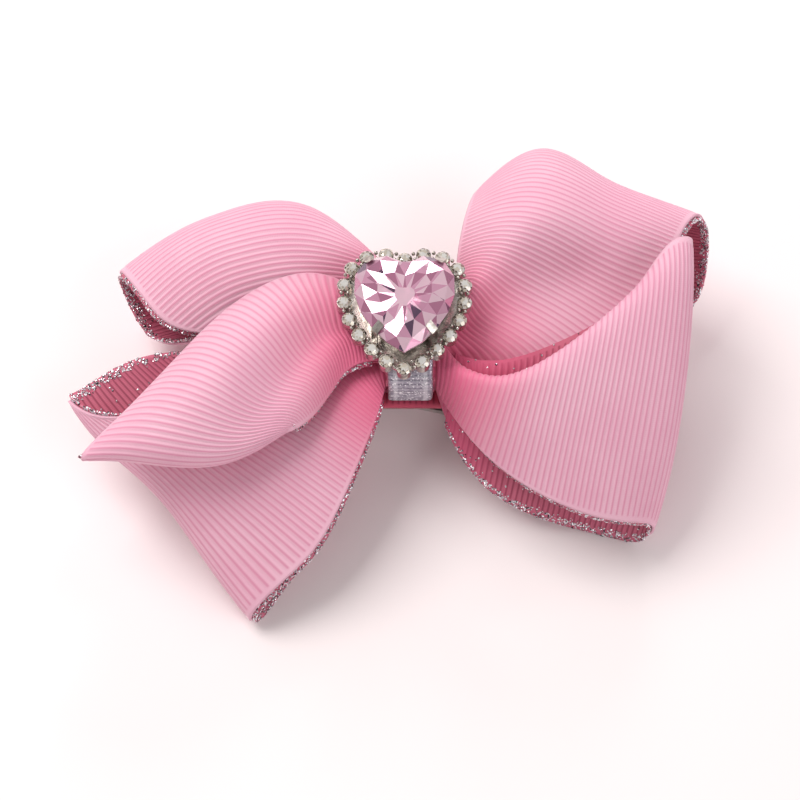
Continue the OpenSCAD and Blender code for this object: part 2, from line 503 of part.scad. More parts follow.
// ----------------------------------------------------------------------- place
// The origin is the middle of the bow's lowest level.
function flat_points(g) = [for (row = g) for (p = row) p];
all_points = [for (net = [upper_right, lower_right, front_left, lower_left, upper_left])
    each let (g = strip(sized(net), 0, 1, steps_along), away = normals(g))
        [for (i = [0:len(g) - 1]) for (j = [0:len(g[0]) - 1]) for (s = [-1, 1])
            g[i][j] + s * ribbon_t / 2 * away[i][j]]];
xs = [for (p = all_points) p.x];
ys = [for (p = all_points) p.y];
zs = [for (p = all_points) p.z];
place = -[(min(xs) + max(xs)) / 2, (min(ys) + max(ys)) / 2, min(min(zs), 0)];
echo(place = place, hinge = [hinge_x, 0, hinge_z] + place, loops_low = min(zs));

translate(place) {
    upper_right_loop();
    lower_right_loop();
    front_left_loop();
    lower_left_loop();
    upper_left_loop();
    upper_right_lining();
    lower_right_lining();
    front_left_lining();
    lower_left_lining();
    upper_left_lining();
    gathered_core();
    binding_thread();
    centre_wrap();
    glue_pad();
    surround_setting();
    surround_stones();
    claw_setting();
    heart_crystal();
    clip_cover();
    clip_upper_arm();
    clip_lower_jaw();
    hinge_pin();
    clip_spring();
}
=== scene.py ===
# %% [markdown]
# # A gathered ribbon hair bow, piece by piece
# A boutique bow is one wide grosgrain ribbon with a glitter lining, folded into loops, pinched in the
# middle, bound with thread and hidden under a narrow silver ribbon. A heart crystal in a ring of small
# stones is glued on the knot, and an alligator clip is glued behind it. Here each loop is a strip of its own.
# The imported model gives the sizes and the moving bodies. This script builds the looks around it.

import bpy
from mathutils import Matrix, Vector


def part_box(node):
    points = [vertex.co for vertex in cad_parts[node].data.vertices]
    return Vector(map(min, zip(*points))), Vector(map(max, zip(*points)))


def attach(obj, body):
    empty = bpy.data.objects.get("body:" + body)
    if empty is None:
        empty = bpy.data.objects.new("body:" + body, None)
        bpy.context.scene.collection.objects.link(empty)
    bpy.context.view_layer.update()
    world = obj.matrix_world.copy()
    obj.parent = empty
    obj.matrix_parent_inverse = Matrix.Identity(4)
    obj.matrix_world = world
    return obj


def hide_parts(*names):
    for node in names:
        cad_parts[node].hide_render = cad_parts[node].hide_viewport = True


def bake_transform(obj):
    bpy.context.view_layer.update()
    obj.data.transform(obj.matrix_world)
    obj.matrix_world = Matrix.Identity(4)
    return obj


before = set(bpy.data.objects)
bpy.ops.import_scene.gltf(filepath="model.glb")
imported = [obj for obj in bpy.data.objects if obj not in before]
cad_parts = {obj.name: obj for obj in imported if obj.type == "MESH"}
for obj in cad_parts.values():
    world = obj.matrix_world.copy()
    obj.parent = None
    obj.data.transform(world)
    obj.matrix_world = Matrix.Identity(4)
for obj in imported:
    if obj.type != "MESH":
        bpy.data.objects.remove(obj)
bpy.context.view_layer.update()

import math

import bmesh
import bpy
import numpy as np
from mathutils import Vector

MM = 0.001

# %% [markdown]
# ## Where things are
# All the sizes below are in millimetres from the middle of the knot: x along the bow, y up it and z out
# of its front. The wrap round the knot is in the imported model, so its box says where that middle is.

# %% Find the knot
WRAP_FRONT = 19.7        # front of the wrap, measured from the level that the loops rest on
WRAP_W = 5.8
KNOT_HALF_H, KNOT_BACK, KNOT_FRONT, KNOT_ROUND = 4.6, 11.0, 18.7, 3.0
wrap_low, wrap_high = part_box("centre_wrap")
knot = np.array([(wrap_low[0] + wrap_high[0]) / 2, (wrap_low[1] + wrap_high[1]) / 2,
                 wrap_high[2] - WRAP_FRONT * MM])


def placed(points):
    """Points in millimetres from the knot, as places in the row frame in metres."""
    return np.asarray(points, dtype=float) * MM + knot


print("knot at", knot.round(5))

# %% [markdown]
# ## Camera
# A bow lies on a table and is seen from above its front edge, so the camera looks down steeply through a
# long lens, which keeps the two sides of the bow the same size.

# %% Camera
CAMERA_RISE = math.radians(65)
CAMERA_AWAY = 0.274
aim = Vector(placed([-1.4, -4.1, 10]))
camera = bpy.data.objects.new("camera", bpy.data.cameras.new("camera"))
bpy.context.scene.collection.objects.link(camera)
camera.data.lens = 90
camera.data.clip_start = 0.01
camera.location = aim + CAMERA_AWAY * Vector((0, -math.cos(CAMERA_RISE), math.sin(CAMERA_RISE)))
camera.rotation_euler = (math.pi / 2 - CAMERA_RISE, 0, 0)
bpy.context.scene.camera = camera
print("camera at", tuple(round(v, 3) for v in camera.location))

# %% [markdown]
# ## Node helpers
# Materials and geometry trees are both graphs of nodes. A small class wraps an output socket, so that
# sums can be written as sums, and one method adds any other node from its type, settings and inputs.

# %% Wires and graphs


class Wire:
    """An output socket that adds a Math node for every operator used on it."""

    def __init__(self, graph, socket):
        self.graph, self.socket = graph, socket

    def math(self, operation, *values, clamp=False):
        settings = {"operation": operation, "use_clamp": clamp}
        return self.graph.add("ShaderNodeMath", settings, dict(enumerate((self,) + values)))

    def __add__(self, other):
        return self.math("ADD", other)

    def __radd__(self, other):
        return self.math("ADD", other)

    def __sub__(self, other):
        return self.math("SUBTRACT", other)

    def __rsub__(self, other):
        return self.graph.number(other).math("SUBTRACT", self)

    def __mul__(self, other):
        return self.math("MULTIPLY", other)

    def __rmul__(self, other):
        return self.math("MULTIPLY", other)

    def __truediv__(self, other):
        return self.math("DIVIDE", other)

    def __pow__(self, other):
        return self.math("POWER", other)

    def __abs__(self):
        return self.math("ABSOLUTE")

    def part(self):
        return self.math("FRACT")

    def wave(self):
        return self.math("SINE")

    def over(self, level):
        return self.math("GREATER_THAN", level)

    def ramp(self, low, high):
        """0 below low, 1 above high, and smooth between them."""
        return self.graph.add("ShaderNodeMapRange", {"interpolation_type": "SMOOTHSTEP"},
                              {"Value": self, "From Min": low, "From Max": high})


class Graph:
    """A node tree, with one way to add any node."""

    def __init__(self, tree):
        self.tree = tree

    def add(self, kind, settings=None, inputs=None, output=0):
        node = self.tree.nodes.new(kind)
        for key, value in (settings or {}).items():
            setattr(node, key, value)
        for key, value in (inputs or {}).items():
            if isinstance(key, str):
                socket = next(s for s in node.inputs if s.name == key and s.enabled)
            else:
                socket = node.inputs[key]
            if isinstance(value, Wire):
                self.tree.links.new(value.socket, socket)
            else:
                socket.default_value = value
        if isinstance(output, str):
            return Wire(self, next(s for s in node.outputs if s.name == output and s.enabled))
        return Wire(self, node.outputs[output])

    def number(self, value):
        wire = self.add("ShaderNodeValue")
        wire.socket.default_value = value
        return wire

    def named(self, name, kind="FLOAT"):
        """A geometry tree's named attribute."""
        return self.add("GeometryNodeInputNamedAttribute", {"data_type": kind}, {"Name": name})


# %% [markdown]
# ## Shader words
# Every finish below uses the same few things: where a point is on its ribbon, cloudy noise, and colours
# that blend by a mask.

# %% Shader helper


class Finish(Graph):
    """A material with a Principled shader, and the words that these finishes share."""

    def __init__(self, name, **constants):
        self.material = bpy.data.materials.new(name)
        self.material.use_nodes = True
        super().__init__(self.material.node_tree)
        self.shader = self.tree.nodes["Principled BSDF"]
        for key, value in constants.items():
            self.shader.inputs[key.replace("_", " ")].default_value = value

    def attribute(self, name):
        return self.add("ShaderNodeAttribute", {"attribute_name": name}, output="Fac")

    def place(self):
        return self.add("ShaderNodeTexCoord", output="Object")

    def noise(self, size, detail=2.0, rough=0.5, output=0, where=None):
        return self.add("ShaderNodeTexNoise", {}, {"Vector": where or self.place(), "Scale": 1 / size,
                                                   "Detail": detail, "Roughness": rough}, output)

    def cells(self, size, output="Distance", where=None, feature="F1"):
        return self.add("ShaderNodeTexVoronoi", {"feature": feature},
                        {"Vector": where or self.place(), "Scale": 1 / size}, output)

    def blend(self, mask, a, b):
        node = self.tree.nodes.new("ShaderNodeMix")
        node.data_type = "RGBA"
        for socket, value in ((node.inputs[0], mask), (node.inputs[6], a), (node.inputs[7], b)):
            if isinstance(value, Wire):
                self.tree.links.new(value.socket, socket)
            else:
                socket.default_value = value if socket.type == "VALUE" else tuple(value) + (1,)
        return Wire(self, node.outputs[2])

    def set(self, **wires):
        for key, wire in wires.items():
            self.tree.links.new(wire.socket, self.shader.inputs[key.replace("_", " ")])

    def relief(self, height, depth, strength=1.0):
        self.set(Normal=self.add("ShaderNodeBump", {}, {"Height": height, "Distance": depth,
                                                        "Strength": strength}))


def srgb(r, g, b):
    """A colour as a paint chart gives it, 0 to 255, as light."""
    return tuple(((v / 255 + 0.055) / 1.055) ** 2.4 if v > 10 else v / 3295 for v in (r, g, b))


# %% [markdown]
# ## Grosgrain
# Grosgrain is woven with thick cross threads, which show as ribs from selvage to selvage, and thin
# lengthwise threads that wrap over them. The ribs are real relief in the mesh. The material adds what is
# finer: the thin threads, painted shade in the grooves, slow changes of the dye, and painted shade in
# the creases near the knot.

# %% Ribbon finishes
RIB_PITCH = 0.8 * MM
THREAD_PITCH = 0.25 * MM


def ribbon_finish(name, light, deep, groove_shade, sheen, pitch=RIB_PITCH, rough=0.55, metal=0.0,
                  crease=None):
    m = Finish(name, Sheen_Weight=sheen, Sheen_Roughness=0.35, Metallic=metal, Specular_IOR_Level=0.4)
    along, across, edge = m.attribute("along"), m.attribute("across"), m.attribute("edge")
    middle = abs((along / pitch).part() - 0.5) * 2          # 0 on a groove, 1 on a rib's crown
    dip = 1 - middle.ramp(0.0, 0.62)
    threads = abs((across / THREAD_PITCH).part() - 0.5) * 2
    cloth = edge.ramp(0.7 * MM, 1.1 * MM)                   # 0 on the flat selvage
    clouds = m.noise(9 * MM, 3)
    fuzz = m.noise(0.25 * MM, 2)
    dye = m.blend(clouds.ramp(0.25, 0.75), light, deep)
    # Painted shade: the grooves between ribs turn to the groove colour, on top of their real relief.
    lines = m.blend(dip * cloth * 0.75, dye, groove_shade)
    colour = m.blend(threads * 0.14 + fuzz * 0.12, lines, groove_shade)
    # Painted shade: near the knot the colour turns to the deep crease colour, shade and glow painted into the
    # gathered folds.
    if crease:
        colour = m.blend(m.attribute("crease").ramp(0.0, 1.0) * 0.85, colour, crease)
    m.set(Base_Color=colour, Roughness=fuzz * 0.2 + (rough - 0.1) + dip * 0.1)
    m.relief(threads * (1 - dip * 0.6) * 0.6 + fuzz * 0.5 - dip * 0.3, 0.04 * MM, 0.5)
    return m


# Painted shade: the third colour of each finish darkens the grooves, and the crease colour is shade and glow
# painted into the folds near the knot.
pink = ribbon_finish("pink grosgrain", srgb(240, 192, 209), srgb(235, 180, 200), srgb(214, 130, 160), 0.25,
                     crease=srgb(226, 88, 130))
rose = ribbon_finish("rose lining", srgb(222, 122, 146), srgb(210, 104, 132), srgb(140, 44, 72), 0.15,
                     crease=srgb(216, 84, 124))
print("ribbon finishes", pink.material.name, rose.material.name)

# %% [markdown]
# ## The loops' shape
# Each row of points crosses the ribbon from selvage to selvage, and the rows go from the knot's front,
# round the loop's end and back to the knot. A B-spline sheet over them is smooth, but it isn't held to the
# shape of a flat ribbon: the loops narrow towards the knot, and one selvage is up to 2.7 times as long as
# the other. Lines across the finished sheet are where the ribs run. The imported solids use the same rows.

# %% Rows of points for the five loops
LOOP_ROWS = {
    "upper_right": [
        [[3.5, 4.4, 14.8], [3.5, 3.5, 15.2], [3.5, 2.4, 14.6], [3.5, 1.2, 14.9], [3.5, 0, 14.6],
         [3.5, -1.2, 14.5]],
        [[6.5, 10, 13], [8, 8.5, 20], [8.5, 5.5, 13.5], [14, 1.5, 17], [20, -2, 14.5], [22, -6, 11.8]],
        [[6.5, 14.5, 14], [10, 13, 21.5], [15, 11.5, 19], [20, 11, 14.5], [27, 6, 15], [33, 2, 13]],
        [[7, 18, 15], [12, 16, 23], [18, 15, 23], [25, 13, 17], [30, 10, 17.5], [35, 9.5, 16]],
        [[8, 23, 15], [14, 21.5, 23], [20, 19.5, 25], [27, 17.5, 22], [32, 16, 21.5], [36, 15, 20]],
        [[10, 30.5, 10], [16, 36, 17], [22, 34, 19], [27, 27, 19.5], [32.5, 24, 21], [39.5, 20, 21.5]],
        [[12, 30, 4], [18, 33.5, 5.5], [23.5, 31, 7], [29, 25.5, 9.5], [35, 22.5, 12], [41.5, 19, 16]],
        [[9, 21, 0], [15, 21, -2], [21, 20, -2.6], [27, 18.5, -2], [34, 16.5, 3], [41.5, 13.5, 8.5]],
        [[6, 13, 7], [11, 13.5, 5], [17, 13.5, 4], [24, 13, 4.5], [31, 11, 6], [38, 9, 7]],
        [[4.5, 6.5, 12], [7, 6.5, 12], [10, 5.5, 12], [15, 4.5, 12.2], [20, 3.5, 12.2], [26, 3, 12]],
        [[3.5, 3.8, 12.2], [3.5, 3, 11.8], [3.5, 2, 11.5], [3.5, 1, 11.5], [3.5, 0, 11.5],
         [3.5, -1.2, 11.5]]],
    "lower_right": [
        [[3.5, -4.3, 14], [3.5, -4.3, 15.8], [3.5, -3.8, 17.1], [3.5, -2.4, 18.2], [3.5, -0.5, 18.3],
         [3.5, 1.5, 18.2]],
        [[6, -8.5, 13.5], [7, -8, 17], [8, -7, 20], [8.5, -5.5, 21], [8.5, -5, 18.9], [8, -5.5, 17.6]],
        [[10, -14, 12.5], [11, -12, 16.5], [12, -9.5, 20], [13, -7.5, 22.5], [13.5, -6, 20.5],
         [13, -7.5, 18.3]],
        [[17.5, -19, 11.5], [18.5, -15, 16.5], [19.5, -10.5, 20.5], [21, -4.5, 24.5], [22, -0.5, 24],
         [21, -3.5, 19.8]],
        [[24.5, -21.5, 10], [25.5, -15.5, 16], [27, -9, 20.5], [28.5, -1, 24.5], [30, 6.5, 26],
         [30, 5.5, 21.5]],
        [[29.5, -21.5, 8.5], [30.5, -16, 14.5], [32, -8, 19.5], [33.5, 0.5, 23.5], [34.5, 9, 26.5],
         [34.5, 13, 25]],
        [[33.5, -20.5, 6], [35, -16.5, 12], [36.5, -8, 17], [37.5, 0, 21], [38, 8, 24.5], [38, 13.5, 24.5]],
        [[33, -21, -0.5], [35, -16, 7], [36.5, -8, 12.5], [37.5, 0, 16.5], [38, 8, 20.5], [38, 13, 22]],
        [[26, -18.5, -1], [28, -13, 7], [29, -7, 12.5], [30, -2, 16.3], [31, 3, 18.5], [31, 6.5, 19]],
        [[14.5, -17.5, 3], [16, -12, 8.5], [17, -7.5, 13], [18, -4.5, 15.9], [19, -1.8, 17],
         [19, -0.2, 17.5]],
        [[6.5, -12.5, 7.5], [7.5, -8.5, 11], [8, -6, 14.6], [8.5, -5, 16.2], [8.5, -4.2, 16.9],
         [8.5, -3.4, 16.9]],
        [[3.5, -3.2, 12.6], [3.5, -3, 14.4], [3.5, -2.4, 16], [3.5, -1.2, 16.7], [3.5, 0, 16.7],
         [3.5, 1.4, 16.6]]],
    "front_left": [
        [[-3.5, 3.4, 17.6], [-3.5, 2.8, 18.1], [-3.5, 2, 18.3], [-3.5, 1.2, 18.3], [-3.5, 0, 18.3],
         [-3.5, -1, 18.2], [-3.5, -2, 18.1]],
        [[-9, 13, 18], [-9.5, 10.5, 19.3], [-9.5, 7.5, 19.8], [-9.5, 4.5, 19.5], [-9.5, 2.5, 19.2],
         [-8.5, 1.5, 19.5], [-8, -2, 18]],
        [[-21, 11, 18], [-19.5, 8.5, 22], [-17, 5, 24.5], [-15, 2, 23], [-13, -1.5, 19.8],
         [-10.5, -2.5, 20.7], [-10, -5.5, 17.6]],
        [[-31.5, -1, 16.5], [-29.5, -2.5, 21.5], [-25.5, -4.5, 25], [-21.5, -7, 23.5],
         [-18, -9.5, 19.8], [-14, -8.5, 20.7], [-13, -10.5, 17.8]],
        [[-38, -9.5, 17], [-35, -10, 21], [-31, -11.5, 24], [-26, -13, 22.5], [-21, -13.5, 19.8],
         [-16.5, -11.5, 19.8], [-15.5, -12.5, 18.5]],
        [[-44, -16, 17.5], [-40, -16, 19], [-34, -17.5, 20.5], [-28, -18, 20], [-22.5, -17, 19.3],
         [-18, -14.5, 19], [-16, -12.5, 18.7]],
        [[-43, -16, 15.3], [-39, -16, 15.3], [-34, -17, 15.6], [-28, -17.5, 15.8], [-23, -16.5, 16.1],
         [-19, -13.5, 16.3], [-17, -11, 16.5]],
        [[-37, -9, 14.8], [-34, -9.5, 15.5], [-30, -10.5, 16.7], [-25.5, -11, 17.3], [-21, -11, 16.8],
         [-18.5, -9.5, 16.5], [-16.5, -7.5, 16.5]],
        [[-28, 0, 15.4], [-25.5, -1, 16.5], [-22.5, -2.5, 18], [-19.5, -4, 18], [-17, -5, 17.2],
         [-14.5, -5, 16.8], [-13, -4, 16.8]],
        [[-14, 7, 17.5], [-13, 5.5, 18], [-12.5, 4, 18.3], [-12, 2, 18], [-11, 0.5, 17.2],
         [-10, -0.5, 16.9], [-9, -1, 16.8]],
        [[-3.5, 3.8, 16.7], [-3.5, 3.1, 16.7], [-3.5, 2.2, 16.7], [-3.5, 1.2, 16.7], [-3.5, 0, 16.7],
         [-3.5, -1, 16.7], [-3.5, -1.8, 16.7]]],
    "lower_left": [
        [[-3.5, 1, 15.7], [-3.5, 0, 15.7], [-3.5, -1.2, 15.7], [-3.5, -2.4, 15.7], [-3.5, -3.5, 15.6],
         [-3.5, -4.4, 15]],
        [[-14, 0.5, 14.5], [-12.5, 0, 14.7], [-11, -1.5, 14.9], [-9, -3.5, 15.6], [-6.5, -6, 16],
         [-4, -7.5, 14.5]],
        [[-27, -3, 13.3], [-24, -4, 13], [-20.5, -6.5, 13.5], [-16, -9, 15], [-11, -11.5, 15.5],
         [-6.5, -13.5, 13]],
        [[-37, -8, 12.8], [-35, -8, 12.5], [-31.5, -11, 13], [-25.5, -15.5, 13.5], [-18.5, -20, 12.5],
         [-11.5, -25, 9]],
        [[-43, -8, 12.3], [-41, -8, 12], [-36, -12.5, 12.3], [-30, -17.5, 11.5], [-23.5, -23.5, 9.5],
         [-17, -29, 6.5]],
        [[-47, -4.5, 11.3], [-44, -9.5, 10.5], [-38.5, -13.5, 9.5], [-32.5, -18.5, 8.5],
         [-27.5, -26.5, 6], [-22, -33, 3]],
        [[-46.5, -4, 9.3], [-43.5, -9, 7.5], [-38, -13, 5], [-32, -18.5, 3], [-27, -26.5, 0.5],
         [-21.5, -32.5, -2]],
        [[-42, -1, 10.3], [-38.5, -4.5, 8], [-33.5, -10, 6], [-28, -15.5, 4], [-22, -21, 2.5],
         [-16, -26, 1.5]],
        [[-34, 4, 10.3], [-29.5, 1, 9.3], [-24.5, -3, 9], [-19, -7.5, 8.3], [-14, -12, 7],
         [-9.5, -16.5, 6.5]],
        [[-21, 1, 12.5], [-18, 0, 12.5], [-14.5, -1.5, 12.5], [-11, -3.5, 12.3], [-8, -6.5, 12],
         [-6, -9, 11.7]],
        [[-3.5, 1, 14.1], [-3.5, 0, 14.1], [-3.5, -1.2, 14.1], [-3.5, -2.4, 14.1], [-3.5, -3.6, 14],
         [-3.5, -4.5, 13.4]]],
    "upper_left": [
        [[-3.5, 0.5, 13], [-3.5, 1.3, 13.1], [-3.5, 2.1, 13.1], [-3.5, 2.9, 13.1], [-3.5, 3.7, 13.1],
         [-3.5, 4.5, 13.1]],
        [[-19, 5.5, 13], [-16, 6, 13.2], [-13, 6.3, 13.4], [-10, 6.5, 13.6], [-6.5, 6.5, 13.6],
         [-3.5, 7, 13.4]],
        [[-32, 3.5, 12], [-27, 7.5, 14], [-21, 9.5, 15], [-15.5, 10.5, 15.5], [-9.5, 11, 15.5],
         [-3, 10.5, 15.5]],
        [[-36.5, 9, 14.5], [-30.5, 14.5, 18], [-23, 16, 19.5], [-16, 17, 20], [-9.5, 15.5, 19.5],
         [-4, 13, 18.5]],
        [[-41, 15.5, 13], [-34.5, 20.5, 15], [-27, 23, 17], [-19, 26, 17.5], [-12, 24, 17],
         [-6, 16.5, 15.5]],
        [[-41, 16, 7], [-34.5, 21, 8], [-27, 23.5, 8], [-19, 26, 8], [-12, 23, 9], [-6, 16.5, 10]],
        [[-38.5, 11, 2.5], [-33, 14, 0], [-26, 15.5, -2.5], [-19, 16.5, -2], [-12, 15.5, 3], [-6, 13, 7]],
        [[-34.5, 6.5, 2], [-28.5, 8.5, 1.5], [-22.5, 10.5, 2], [-16.5, 11.5, 3.5], [-11, 11, 6],
         [-5.5, 9, 9]],
        [[-22, 7, 11.8], [-18, 6.5, 11.8], [-14, 6, 11.8], [-10.5, 6, 11.8], [-7.5, 6, 11.8],
         [-4.5, 5.5, 11.8]],
        [[-3.5, 0.5, 11.6], [-3.5, 1.2, 11.6], [-3.5, 1.9, 11.6], [-3.5, 2.6, 11.7],
         [-3.5, 3.2, 11.9], [-3.5, 3.8, 12.2]]],
}
print({name: len(rows) for name, rows in LOOP_ROWS.items()})

# %% [markdown]
# ## Smooth sheets from rows
# The weights are those of a cubic B-spline that meets its first and last points. The rows are then walked
# at equal steps of their mean length, so the ribs keep their pitch only on average: they are further
# apart at a long selvage and closer at a short one. Each line across is walked at equal steps too, and
# the threads close up where the sheet is narrow.

# %% B-spline sheets


def spline_weights(count, shares):
    knots = np.concatenate([[0] * 3, np.arange(count - 2), [count - 3] * 3]).astype(float)
    t = np.clip(np.asarray(shares) * (count - 3), 0, count - 3 - 1e-9)
    layer = np.array([(knots[i] <= t) & (t < knots[i + 1]) for i in range(count + 3)], dtype=float).T
    for degree in (1, 2, 3):
        rise = np.zeros((len(t), count + 3 - degree))
        for i in range(count + 3 - degree):
            a, b = knots[i + degree] - knots[i], knots[i + degree + 1] - knots[i + 1]
            rise[:, i] += (t - knots[i]) / a * layer[:, i] if a > 0 else 0
            rise[:, i] += (knots[i + degree + 1] - t) / b * layer[:, i + 1] if b > 0 else 0
        layer = rise
    return layer


def distances(line):
    """How far along a flat line each of its points is."""
    return np.concatenate([[0], np.cumsum(np.linalg.norm(np.diff(line, axis=0), axis=1))])


def sheet_points(rows, along, across):
    net = np.array(rows, dtype=float)
    return np.einsum("ui,vj,ijk->uvk", spline_weights(len(net), along),
                     spline_weights(net.shape[1], across), net)


def lengths(points, axis):
    steps = np.linalg.norm(np.diff(points, axis=axis), axis=2)
    return np.concatenate([np.zeros_like(steps.take([0], axis)), np.cumsum(steps, axis)], axis)


def walk(rows, count, columns, start=0.0, end=1.0):
    """A grid of points, evenly spaced by mean length along the ribbon, at the given shares of its width."""
    fine = sheet_points(rows, np.linspace(0, 1, 401), np.linspace(0, 1, 65))
    run = lengths(fine, 0)[:, 12:-12].mean(1)
    shares = np.interp(np.linspace(start * run[-1], end * run[-1], count), run, np.linspace(0, 1, 401))
    lines = sheet_points(rows, shares, np.linspace(0, 1, 65))
    width = lengths(lines, 1)
    grid = np.empty((count, len(columns), 3))
    for i in range(count):
        for k in range(3):
            grid[i, :, k] = np.interp(columns * width[i, -1], width[i], lines[i, :, k])
    return grid, run[-1]


def normals(grid):
    n = np.cross(np.gradient(grid, axis=0), np.gradient(grid, axis=1))
    return n / np.linalg.norm(n, axis=2, keepdims=True)


# %% [markdown]
# ## From a grid to a ribbon
# A ribbon is a closed shell: the grid moved out by half its thickness, the grid moved in, and a rim that
# joins them. Each vertex remembers how far along and across the ribbon it is, how near a selvage, how
# near the knot, which sets how much painted crease shade it gets, and which way its side faces. The
# relief and the finishes read those.

# %% Mesh builders


def new_piece(name, points, faces, layers=None, smooth=True, materials=()):
    mesh = bpy.data.meshes.new(name)
    mesh.from_pydata([tuple(p) for p in points], [], [tuple(f) for f in faces])
    for key, values in (layers or {}).items():
        flat = np.asarray(values, dtype=np.float32)
        vector = flat.ndim == 2
        layer = mesh.attributes.new(key, "FLOAT_VECTOR" if vector else "FLOAT", "POINT")
        layer.data.foreach_set("vector" if vector else "value", flat.ravel())
    mesh.polygons.foreach_set("use_smooth", [smooth] * len(mesh.polygons))
    for material in materials:
        mesh.materials.append(material)
    mesh.update()
    piece = bpy.data.objects.new(name, mesh)
    bpy.context.scene.collection.objects.link(piece)
    return piece


def shell_faces(n, m, closed=False):
    """Faces of a closed shell over two n by m grids. A closed one joins its last line to its first."""
    i, j = np.meshgrid(np.arange(n if closed else n - 1), np.arange(m - 1), indexing="ij")
    i, j, under = i.ravel(), j.ravel(), n * m
    k = (i + 1) % n
    top = np.stack([i * m + j, k * m + j, k * m + j + 1, i * m + j + 1], 1)
    faces = [top, top[:, ::-1] + under]
    a = np.arange(n if closed else n - 1)
    b = (a + 1) % n
    faces.append(np.stack([a * m, under + a * m, under + b * m, b * m], 1))
    far = m - 1
    faces.append(np.stack([a * m + far, b * m + far, under + b * m + far, under + a * m + far], 1))
    if not closed:
        c, last = np.arange(m - 1), (n - 1) * m
        faces.append(np.stack([c, c + 1, under + c + 1, under + c], 1))
        faces.append(np.stack([last + c, under + last + c, under + last + c + 1, last + c + 1], 1))
    return np.concatenate(faces)


def shell(name, grid, low, high, along, across, edge, closed=False, extra=None, facing=None):
    """A ribbon from a grid in millimetres, with its two sides low and high along the grid's normals."""
    away = normals(grid) if facing is None else facing
    n, m, _ = grid.shape
    sides = [(grid + high * away).reshape(-1, 3), (grid + low * away).reshape(-1, 3)]
    points = placed(np.concatenate(sides))
    layers = {"out": np.concatenate([away.reshape(-1, 3), -away.reshape(-1, 3)])}
    for key, values in (("along", along), ("across", across), ("edge", edge)):
        layers[key] = np.tile(np.broadcast_to(values, (n, m)).reshape(-1), 2) * MM
    away_from_knot = np.hypot(points[:, 0] - knot[0], points[:, 1] - knot[1]) / MM
    # Painted shade: how strongly the crease colour darkens the ribbon, more the nearer it is to the knot.
    layers["crease"] = np.clip((22 - away_from_knot) / 16, 0, 1)
    layers.update(extra or {})
    return new_piece(name, points, shell_faces(n, m, closed), layers)


# %% [markdown]
# ## Ribs in relief
# The ribs follow the ribbon wherever it goes, which is a rule, so a geometry tree raises them. It lifts
# each vertex along its side's own direction by a rounded wave of the distance along the ribbon, and
# leaves the selvages flat.

# %% The rib tree


def new_tree(name, inputs):
    """An empty geometry tree with named inputs, and its graph."""
    tree = bpy.data.node_groups.new(name, "GeometryNodeTree")
    tree.interface.new_socket("Geometry", in_out="INPUT", socket_type="NodeSocketGeometry")
    for key, kind in inputs.items():
        tree.interface.new_socket(key, in_out="INPUT", socket_type="NodeSocket" + kind)
    tree.interface.new_socket("Geometry", in_out="OUTPUT", socket_type="NodeSocketGeometry")
    graph = Graph(tree)
    source = tree.nodes.new("NodeGroupInput")
    graph.given = {s.name: Wire(graph, s) for s in source.outputs if s.name}
    return graph


def finish_tree(graph, shape, material):
    """Ends a tree in plain faces with a material."""
    real = graph.add("GeometryNodeRealizeInstances", {}, {"Geometry": shape})
    done = graph.add("GeometryNodeSetMaterial", {}, {"Geometry": real, "Material": material})
    target = graph.tree.nodes.new("NodeGroupOutput")
    graph.tree.links.new(done.socket, target.inputs["Geometry"])
    return graph.tree


def grow(piece, tree, **values):
    """Runs a geometry tree on a piece, with its inputs set by name, and keeps the plain mesh."""
    modifier = piece.modifiers.new(tree.name, "NODES")
    modifier.node_group = tree
    for item in tree.interface.items_tree:
        if item.in_out == "INPUT" and item.name.replace(" ", "_") in values:
            modifier[item.identifier] = values[item.name.replace(" ", "_")]
    graph = bpy.context.evaluated_depsgraph_get()
    mesh = bpy.data.meshes.new_from_object(piece.evaluated_get(graph), preserve_all_data_layers=True,
                                           depsgraph=graph)
    piece.modifiers.clear()
    piece.data = mesh
    return piece


g = new_tree("Raise ribs", {"Rib pitch": "Float", "Rib height": "Float", "Selvage width": "Float",
                            "Material": "Material"})
crown = abs((g.named("along") / g.given["Rib pitch"] * math.pi).wave()) ** 0.8
woven = g.add("ShaderNodeMapRange", {"interpolation_type": "SMOOTHSTEP"},
              {"Value": g.named("edge") / g.given["Selvage width"], "From Min": 0.7, "From Max": 1.1})
lift = (crown - 0.6) * woven * g.given["Rib height"]
push = g.add("ShaderNodeVectorMath", {"operation": "SCALE"},
             {0: g.named("out", "FLOAT_VECTOR"), "Scale": lift})
raised = g.add("GeometryNodeSetPosition", {}, {"Geometry": g.given["Geometry"], "Offset": push})
rib_tree = finish_tree(g, raised, g.given["Material"])
print("tree", rib_tree.name)

# %% [markdown]
# ## The pink loops
# Six lines of vertices to a rib are enough for a round crown. The columns are closer together at the
# selvages, where the weave turns flat. The necks run on under the wrap, so no cut end shows.

# %% Weave the loops
RIBBON_T, LINING_T, LINING_GAP = 0.4, 0.25, 0.12
NECK_RUN = 1.4
LINES_PER_RIB = 6
edge_steps = [0, 0.4, 0.8, 1.1, 1.5]
columns_mm = np.array(edge_steps + list(np.linspace(2.2, 35.8, 46)) + [38 - s for s in edge_steps[::-1]])
edges_mm = np.minimum(columns_mm, 38 - columns_mm)


def with_necks(grid):
    """The grid with two more lines at each end, straight in under the wrap."""
    inward = np.array([-np.sign(grid[0, 0, 0]) * NECK_RUN, 0, 0])
    first = np.stack([grid[0] + inward, grid[0] + inward / 2])
    last = np.stack([grid[-1] + inward / 2, grid[-1] + inward])
    return np.concatenate([first, grid, last])


def inside_sign(grid):
    """1 if the loop's inside is on its normals' side, which is the side under its front half."""
    return 1 if normals(grid)[len(grid) // 5, grid.shape[1] // 2, 2] < 0 else -1


